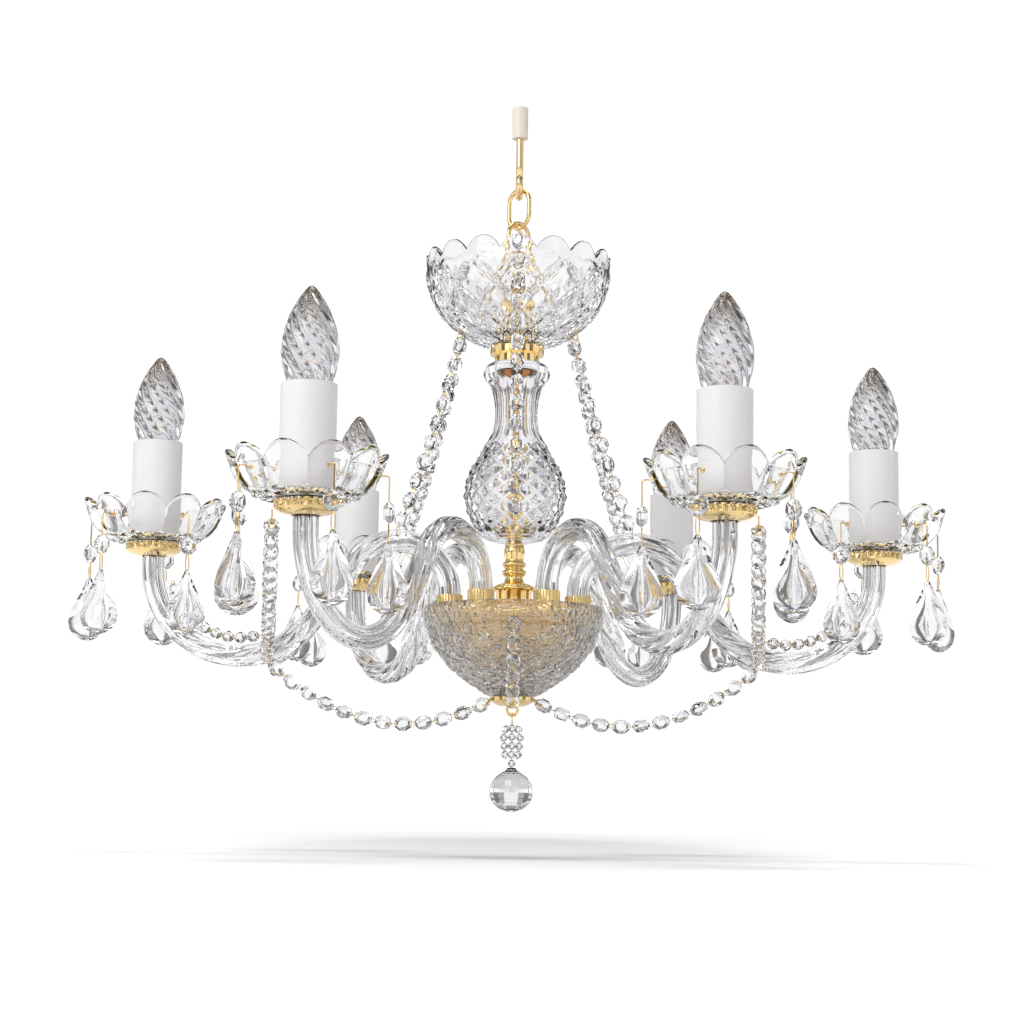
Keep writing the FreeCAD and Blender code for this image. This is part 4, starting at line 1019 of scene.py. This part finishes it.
def string_tree():
    """The tree behind every string: a line, a bead, a link, their spacing and their materials go in."""
    tree = bpy.data.node_groups.new("crystal_string", "GeometryNodeTree")
    for name, kind in (("Line", "Geometry"), ("Bead", "Object"), ("Link", "Object"), ("Pitch", "Float"),
                       ("Turn", "Float"), ("Jitter", "Float"), ("Seed", "Int"),
                       ("Bead material", "Material"), ("Link material", "Material")):
        tree.interface.new_socket(name, in_out="INPUT", socket_type=f"NodeSocket{kind}")
    tree.interface.new_socket("Geometry", in_out="OUTPUT", socket_type="NodeSocketGeometry")

    def outputs(kind, inputs=None, **settings):
        return add_node(tree, kind, inputs, **settings).outputs

    given = outputs("NodeGroupInput")
    curve = outputs("GeometryNodeMeshToCurve", {"Mesh": given["Line"]})["Curve"]
    length = outputs("GeometryNodeCurveLength", {"Curve": curve})["Length"]
    steps = maths(tree, "ROUND", maths(tree, "DIVIDE", length, given["Pitch"]))
    count = maths(tree, "ADD", maths(tree, "MULTIPLY", steps, 2.0), 1.0)
    knots = outputs("GeometryNodeCurveToPoints", {"Curve": curve, "Count": count}, mode="COUNT")
    odd = maths(tree, "MODULO", outputs("GeometryNodeInputIndex")[0], 2.0)
    split = outputs("GeometryNodeSeparateGeometry", {"Geometry": knots["Points"], "Selection": odd},
                    domain="POINT")
    along = outputs("FunctionNodeAlignEulerToVector", {"Vector": knots["Tangent"]}, axis="Z")["Rotation"]
    together = add_node(tree, "GeometryNodeJoinGeometry")
    for kind, output in (("Bead", "Selection"), ("Link", "Inverted")):
        source = outputs("GeometryNodeObjectInfo", {"Object": given[kind]})["Geometry"]
        copies = outputs("GeometryNodeInstanceOnPoints", {"Points": split[output], "Instance": source,
                                                          "Rotation": along})["Instances"]
        by_turns = maths(tree, "MULTIPLY", outputs("GeometryNodeInputIndex")[0], given["Turn"])
        low = maths(tree, "MULTIPLY", given["Jitter"], -1.0)
        chance = outputs("FunctionNodeRandomValue", {2: low, 3: given["Jitter"], "Seed": given["Seed"]},
                         data_type="FLOAT")[1]
        angle = outputs("ShaderNodeCombineXYZ", {"Z": maths(tree, "ADD", by_turns, chance)})[0]
        placed = outputs("GeometryNodeRotateInstances", {"Instances": copies, "Rotation": angle,
                                                         "Local Space": True})["Instances"]
        marked = outputs("GeometryNodeStoreNamedAttribute",
                         {"Geometry": placed, "Name": "is_link", "Value": kind == "Link"},
                         data_type="BOOLEAN", domain="INSTANCE")["Geometry"]
        fill(tree, together, {"Geometry": marked})
    real = outputs("GeometryNodeRealizeInstances", {"Geometry": together.outputs["Geometry"]})["Geometry"]
    is_link = outputs("GeometryNodeInputNamedAttribute", {"Name": "is_link"},
                      data_type="BOOLEAN")["Attribute"]
    crystals = outputs("GeometryNodeSetMaterial", {"Geometry": real, "Material": given["Bead material"]})
    links = outputs("GeometryNodeSetMaterial", {"Geometry": crystals["Geometry"], "Selection": is_link,
                                                "Material": given["Link material"]})
    add_node(tree, "NodeGroupOutput", {"Geometry": links["Geometry"]})
    return tree


strings = string_tree()
print("node tree with", len(strings.nodes), "nodes")


# %% [markdown]
# ## From a line to a plain mesh
#
# The tree runs on a short-lived carrier object whose mesh is the line. Its inputs are set by identifier
# before it is first evaluated, the result is copied out as a plain mesh, and the carrier goes. So nothing
# that the joints move depends on a modifier any more.

# %%
def set_input(modifier, name, value):
    item = next(item for item in modifier.node_group.interface.items_tree
                if item.item_type == "SOCKET" and item.in_out == "INPUT" and item.name == name)
    modifier[item.identifier] = value


BEAD_TURN, BEAD_JITTER = math.pi / 2, 0.8


def strung(name, lines, bead, link, pitch, seed=1):
    """A piece of crystals strung along lines of points, made by the node tree and kept as one plain mesh."""
    whole = bmesh.new()
    for number, line in enumerate(lines):
        mesh = bpy.data.meshes.new(f"{name}_line")
        mesh.from_pydata([tuple(point) for point in line], [(i, i + 1) for i in range(len(line) - 1)], [])
        carrier = bpy.data.objects.new(f"{name}_carrier", mesh)
        bpy.context.collection.objects.link(carrier)
        modifier = carrier.modifiers.new("beads", "NODES")
        modifier.node_group = strings
        for label, value in (("Bead", bead), ("Link", link), ("Pitch", pitch), ("Turn", BEAD_TURN),
                             ("Jitter", BEAD_JITTER), ("Seed", seed + number), ("Bead material", crystal),
                             ("Link material", wire_brass)):
            set_input(modifier, label, value)
        bpy.context.view_layer.update()
        shaped = carrier.evaluated_get(bpy.context.evaluated_depsgraph_get())
        beads = bpy.data.meshes.new_from_object(shaped)
        whole.from_mesh(beads)
        materials = list(beads.materials)
        bpy.data.objects.remove(carrier)
    mesh = bpy.data.meshes.new(name)
    whole.to_mesh(mesh)
    whole.free()
    for material in materials:
        mesh.materials.append(material)
    piece = bpy.data.objects.new(name, mesh)
    bpy.context.collection.objects.link(piece)
    print(name, "on", len(lines), "lines,", len(mesh.polygons), "faces")
    return piece


def sagging(start, end, sag, steps=60):
    start, end = Vector(start), Vector(end)
    return [start.lerp(end, step / steps) - UP * 4 * sag * (step / steps) * (1 - step / steps)
            for step in range(steps + 1)]


big_bead = hidden_object("big_bead", octagon_crystal(mm(10.2), mm(7.8), mm(12.6)), crystal, True)
small_bead = hidden_object("small_bead", bead_crystal(mm(4.2), mm(8.3)), crystal, True)
fine_bead = hidden_object("fine_bead", bead_crystal(mm(2.9), mm(5.1)), crystal, True)
bead_link = hidden_object("bead_link", bow_link(mm(4.2), mm(2.2), mm(0.6)), wire_brass, False)
fine_link = hidden_object("fine_link", bow_link(mm(1.2), mm(0.8), mm(0.3)), wire_brass, False)
PITCH = mm(13.5)
SMALL_PITCH = mm(8.4)
FINE_PITCH = mm(5.2)
SEAT_LEVEL = bottom("arm_hub") + mm(2)
CREST_TOP = SEAT_LEVEL + CREST[1] + CREST[2] + ARM_RADIUS


# %% [markdown]
# ## Upper strings
#
# Two strings swing from the dish to each side, and one hangs straight down in front of the column. A
# hanging string follows a catenary, and so slack a one is told apart from a parabola by nobody, so
# sagging() uses the parabola.

# %%
def dish_pin(side, back):
    """Where a string is pinned in the dish: at its side, or a little behind when back is 1."""
    return Vector((side * (mm(37.9) + back * mm(1)), back * mm(10.8), bottom("top_dish") + mm(8.3)))


def free_hole(arm):
    """Where an upper string is pinned in the pan: its hole that faces the column."""
    seat = centre(f"pan_seat_{arm}")
    spot = round_axis(mm(47.85), arm_angle(arm) + math.radians(MIRROR_SIDE[arm] * 198))
    return Vector((seat.x + spot.x, seat.y + spot.y, bottom(f"drip_pan_{arm}") + PIN_RISE + mm(3)))


def make_upper_strings():
    """A pair to each side, from pins in the dish to the side arm's crest and the back pan."""
    lines = []
    for side_arm, back_arm, side in ((1, 2, 1), (4, 3, -1)):
        crest = round_axis(CREST[0], arm_angle(side_arm), CREST_TOP)
        lines.append(sagging(dish_pin(side, 0), crest, mm(6.8)))
        lines.append(sagging(dish_pin(side, 1), free_hole(back_arm), mm(13.5)))
    return lines


FRONT_REACH = mm(72)
FRONT_TOP = top("upper_strands") - mm(1)


def make_front_string():
    return [[Vector((0, -FRONT_REACH, FRONT_TOP)), Vector((0, -FRONT_REACH, CREST_TOP))]]


def make_bowl_string():
    """The loose end that lies over the front of the bowl, from its band down to the finial."""
    level = bottom("bottom_bowl")
    lean = smooth_line(millimetres([(68, 50), (65, 36), (52, 17), (36, 3), (19, -7)]), 12)
    return [[Vector((0, -point.x, level + point.y)) for point in lean]]


upper = strung("upper_crystals", make_upper_strings(), big_bead, bead_link, PITCH)
front_string = strung("front_crystals", make_front_string(), big_bead, bead_link, PITCH, seed=4)


# %% [markdown]
# ## Lower strings
#
# A garland runs from the finial to each side arm, two swags come in from its neighbours, and small beads
# lie along the arm itself. A loose end lies over the front of the bowl. All start and end where brass
# holds them.

# %%
def finial_edge(side):
    """Where a garland is tied to the finial."""
    return Vector((side * mm(15), 0, bottom("bottom_bowl") - mm(2)))


def swag_start(arm, side):
    """Where a swag's first crystal hangs, just below the edge of a seat."""
    seat = centre(f"pan_seat_{arm}")
    return Vector((seat.x + side * mm(19.8), seat.y, bottom(f"pan_seat_{arm}") - mm(3.2)))


def make_lower_strings():
    """Garland, swags and the tie where they meet under each side arm."""
    shift = mm(20)
    tie_level = SEAT_LEVEL + LOW_BEND[1] - math.sqrt(LOW_BEND[2] ** 2 - shift ** 2)
    lines = []
    for arm, back, front, side in ((1, 2, 6, 1), (4, 3, 5, -1)):
        tie = round_axis(LOW_BEND[0] - shift, arm_angle(arm), tie_level)
        lines.append(sagging(finial_edge(side), tie - UP * (ARM_RADIUS + mm(0.3)), mm(27)))
        for neighbour, way in ((back, 1), (front, -1)):
            foot = tie + Vector((0, way * (ARM_RADIUS + mm(0.3)), -ARM_RADIUS * 2 / 3))
            lines.append(sagging(swag_start(neighbour, side), foot, mm(10.8)))
    return lines


def make_arm_strings():
    """Small beads that lie along the inner side of each side arm's low bend."""
    lean = LOW_BEND[2] - ARM_RADIUS - mm(4.5)
    lines = []
    for side in (1, -1):
        line = []
        for step in range(49):
            angle = math.radians(-14 - 92 * step / 48)
            line.append(Vector((side * (LOW_BEND[0] + lean * math.cos(angle)), 0,
                                SEAT_LEVEL + LOW_BEND[1] + lean * math.sin(angle))))
        lines.append(line)
    return lines


def make_string_hooks():
    """Brass: pins over the dish's rim and through its wall, hooks on four seats and two on the finial."""
    rim = Vector((0, -FRONT_REACH, FRONT_TOP + mm(0.5)))
    over_rim = [rim + Vector((0, mm(y), -mm(z))) for y, z in ((14, 0), (1.5, 0), (0.4, 0.4), (0, 2))]
    wires = [tube(over_rim, mm(0.5))]
    for side, arms in ((1, (2, 6)), (-1, (3, 5))):
        for arm in arms:
            low = swag_start(arm, side)
            wires.append(tube([low + UP * mm(6.7), low - UP * mm(0.5)], mm(0.5)))
            wires.append(moved(bow_link(mm(6), mm(3.6), mm(0.8)), Matrix.Translation(low - UP * mm(2.2))))
        for back in (0, 1):
            high = Matrix.Translation(dish_pin(side, back) + UP * mm(3.5))
            lean = Matrix.Rotation(-side * math.radians(24), 4, "Y")
            wires.append(moved(bow_link(mm(13), mm(5.5), mm(0.9)), high @ lean))
        finial = finial_edge(side)
        inside, bead = finial + Vector((-side * mm(4), 0, mm(1))), finial + Vector((side * mm(5), 0, -mm(4)))
        wires.append(tube([inside, finial, bead], mm(0.7)))
    return joined(wires)


string_hooks = new_piece("string_hooks", *make_string_hooks(), wire_brass)
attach(string_hooks, "chandelier")

bowl_string = strung("bowl_crystals", make_bowl_string(), big_bead, bead_link, mm(12.5), seed=7)
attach(bowl_string, "chandelier")

lower = strung("lower_crystals", make_lower_strings(), big_bead, bead_link, PITCH, seed=2)
on_arms = strung("arm_crystals", make_arm_strings(), small_bead, bead_link, SMALL_PITCH, seed=3)
for piece, node in ((upper, "upper_strands"), (front_string, "upper_strands"), (lower, "lower_strands"),
                    (on_arms, "lower_strands")):
    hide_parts(node)
    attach(piece, "chandelier")


# %% [markdown]
# ## Ball and its short string
#
# Under the finial hangs a solid crystal ball on a few beads in a loose tassel. It swings as one body. The
# ball is cut in flat faces, so it is turned with few sides and shaded flat: each face then shows another
# piece of the room, as on the ball in the photograph.

# %%
def make_ball():
    place, low, high = centre("crystal_ball"), bottom("crystal_ball"), top("crystal_ball")
    size = high - low
    half = size / 2
    outline = smooth_line([(0, 0), (half * 0.5, half * 0.12), (half * 0.9, half * 0.52),
                           (half * 0.995, half * 0.95), (half * 0.86, half * 1.42), (half * 0.5, half * 1.76),
                           (half * 0.24, half * 1.92), (half * 0.2, size), (0, size)], 2)
    part = turned([tuple(point) for point in outline], low, 20, place.x, place.y)
    ball = new_piece("ball_crystal", *part, ball_glass, flat=True)
    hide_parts("crystal_ball")
    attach(ball, "ball_drop")
    start = high + mm(29.4)
    drop = strung("drop_crystals", [[Vector((0, 0, start)), Vector((0, 0, high))]], fine_bead, fine_link,
                  mm(5.8), seed=5)
    bunch = []
    for side in SIDES:
        out = Vector((side, 0, 0))
        bunch.append([UP * (start - mm(1)) + out * mm(3.5), UP * (start - mm(8)) + out * mm(5.6),
                      UP * (high + mm(6)) + out * mm(4)])
    tassel = strung("drop_tassel", bunch, fine_bead, fine_link, FINE_PITCH, seed=6)
    upright = Matrix.Translation((0, 0, start + mm(3.9))) @ Matrix.Rotation(math.pi / 2, 4, "Z")
    loop = new_piece("drop_loop", *moved(bow_link(mm(7.2), mm(7.2), mm(1)), upright), wire_brass)
    for piece, slot in ((drop, "crystal"), (tassel, "crystal"), (loop, "brass")):
        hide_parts("bead_drop")
        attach(piece, "ball_drop")


make_ball()


# %% [markdown]
# ## Finishes of the pieces that keep their solids
#
# Some pieces are already right as plain solids. They only swap the frame's material for the finish made
# above.

# %%
KEPT = {
    plug_cream: ["ceiling_plug"],
    hook_brass: ["ceiling_hook"],
    wire_brass: ["chain_link_upper", "chain_link_lower"],
    turned_brass: ["centre_stem", "dish_collar", "bottom_finial"],
    cup_brass: ["wiring_cup"],
    block_white: ["terminal_block"],
    cover_white: [f"candle_{arm}" for arm in ARMS],
}
for material, names in KEPT.items():
    for node in names:
        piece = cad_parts[node]
        for slot in piece.material_slots:
            slot.material = material
    print(material.name, "on", ", ".join(names))


# %% [markdown]
# ## Studio
#
# Glass shows nothing but its surroundings, so a plain white room would make it vanish. Photographers put
# black cards left and right of it. The world does the same here with upright bands: white behind and in
# front, dark between, bright again overhead. Everything is lit by these bands and mirrors them, but the
# camera itself looks at plain white from every side. Two soft lamps give the brass and the covers their
# shape.

# %%
WHITE, DIM, DARK = (1.0, 1.0, 1.0), (0.27, 0.235, 0.19), (0.14, 0.14, 0.165)
CARDS = 4.0


def make_world():
    world = bpy.data.worlds.new("studio")
    bpy.context.scene.world = world
    world.use_nodes = True
    tree = world.node_tree
    view = add_node(tree, "ShaderNodeTexCoord").outputs["Generated"]
    split = add_node(tree, "ShaderNodeSeparateXYZ", {"Vector": view}).outputs
    azimuth = maths(tree, "ARCTAN2", split["Y"], split["X"])
    wave = maths(tree, "COSINE", maths(tree, "MULTIPLY", azimuth, CARDS))
    bands = ramp(tree, value_range(tree, wave, 0, 1, -1, 1),
                 [(0.0, WHITE), (0.07, WHITE), (0.13, DARK), (0.55, DIM), (0.73, WHITE)])
    height = ramp(tree, value_range(tree, split["Z"], 0, 1, -1, 1),
                  [(0.0, (0.8, 0.8, 0.8)), (0.70, WHITE), (0.78, (0.3, 0.3, 0.33)),
                   (0.9, (0.4, 0.4, 0.43)), (0.95, (1.6, 1.6, 1.6))])
    room = add_node(tree, "ShaderNodeMix", {"Factor": 1.0, 6: bands, 7: height}, data_type="RGBA",
                    blend_type="MULTIPLY").outputs[2]
    direct = add_node(tree, "ShaderNodeLightPath").outputs["Is Camera Ray"]
    seen = add_node(tree, "ShaderNodeMix", {"Factor": direct, 6: room, 7: (*WHITE, 1)}, data_type="RGBA")
    fill(tree, tree.nodes["Background"], {"Color": seen.outputs[2], "Strength": 1.05})


def area_light(name, place, size, power, aim=(0, 0, -0.28)):
    data = bpy.data.lights.new(name, "AREA")
    data.shape = "RECTANGLE"
    data.size, data.size_y = size
    data.energy = power
    light = bpy.data.objects.new(name, data)
    light.location = place
    light.rotation_euler = (Vector(aim) - Vector(place)).to_track_quat("-Z", "Y").to_euler()
    bpy.context.collection.objects.link(light)


# %% [markdown]
# ## Floor
#
# The photograph stands on white with a faint shadow. A floor that is only lit would end in a grey
# horizon. So the paper glows more the farther it is from the chandelier, and only towards the camera,
# metal and glass, which adds no light to the object. Near the chandelier the glow is weakest, so a dim
# patch of painted shadow lies round the real shadow there. The camera looks along the floor, so this
# painted shadow is stretched away from it to look like a plain ellipse.

# %%
def seen_directly(tree):
    """1 for what the camera, the metal and the glass see, 0 for the light that falls on matt surfaces."""
    path = add_node(tree, "ShaderNodeLightPath").outputs
    mirrored = maths(tree, "MAXIMUM", path["Is Glossy Ray"], path["Is Transmission Ray"])
    return maths(tree, "MAXIMUM", path["Is Camera Ray"], mirrored)


FLOOR_REACH, FLOOR_DROP = 12, mm(30)
SHADOW_PATCH_STRETCH, SHADOW_PATCH_SHIFT = (1, 0.2, 0), (0, -0.12, 0)
GLOW_REACH = 2.4
# Glow by stretched distance from the chandelier: low near it, which paints a dim shadow ellipse, and up to
# white far away.
GLOW_AND_PAINTED_SHADOW = ((0.1, 0.06), (0.19, 0.13), (0.27, 0.28), (0.4, 0.38), (0.7, 0.5), (1.1, 0.62), (2.4, 0.75))


def make_floor():
    """Pale paper that keeps the real shadow, with a painted shadow round it, and glows into the white studio
    farther out.
    """
    material, tree, shader = new_material("floor_paper")
    flat = add_node(tree, "ShaderNodeVectorMath", {0: object_place(tree), 1: SHADOW_PATCH_STRETCH, 2: SHADOW_PATCH_SHIFT},
                    operation="MULTIPLY_ADD")
    away = add_node(tree, "ShaderNodeVectorMath", {0: flat.outputs[0]}, operation="LENGTH").outputs["Value"]
    # Painted shadow: the glow is weakest round the chandelier, so the floor is dimmer there than its light
    # alone makes it.
    fade = ramp(tree, value_range(tree, away, 0, 1, 0, GLOW_REACH),
                [(reach / GLOW_REACH, (level, level, level)) for reach, level in GLOW_AND_PAINTED_SHADOW])
    paper = [(0.3, (0.745, 0.745, 0.745)), (0.7, (0.755, 0.755, 0.755))]
    fill(tree, shader, {
        "Roughness": 0.9, "Base Color": ramp(tree, noise(tree, 8, detail=4), paper),
        "Emission Color": (*WHITE, 1),
        "Emission Strength": maths(tree, "MULTIPLY", fade, seen_directly(tree)),
        "Normal": bump(tree, noise(tree, 400, detail=2), 0.05, mm(0.2))})
    size, level = FLOOR_REACH, bottom("crystal_ball") - FLOOR_DROP
    square = [(-size, -size, level), (size, -size, level), (size, size, level), (-size, size, level)]
    floor = new_piece("floor", square, [(0, 1, 2, 3)], material)


make_world()
area_light("key", (-1.2, -1.6, 0.9), (1.2, 1.2), 19)
area_light("over", (0, 0, 1.6), (0.9, 0.9), 15)
make_floor()
bpy.context.scene.view_settings.view_transform = "Standard"
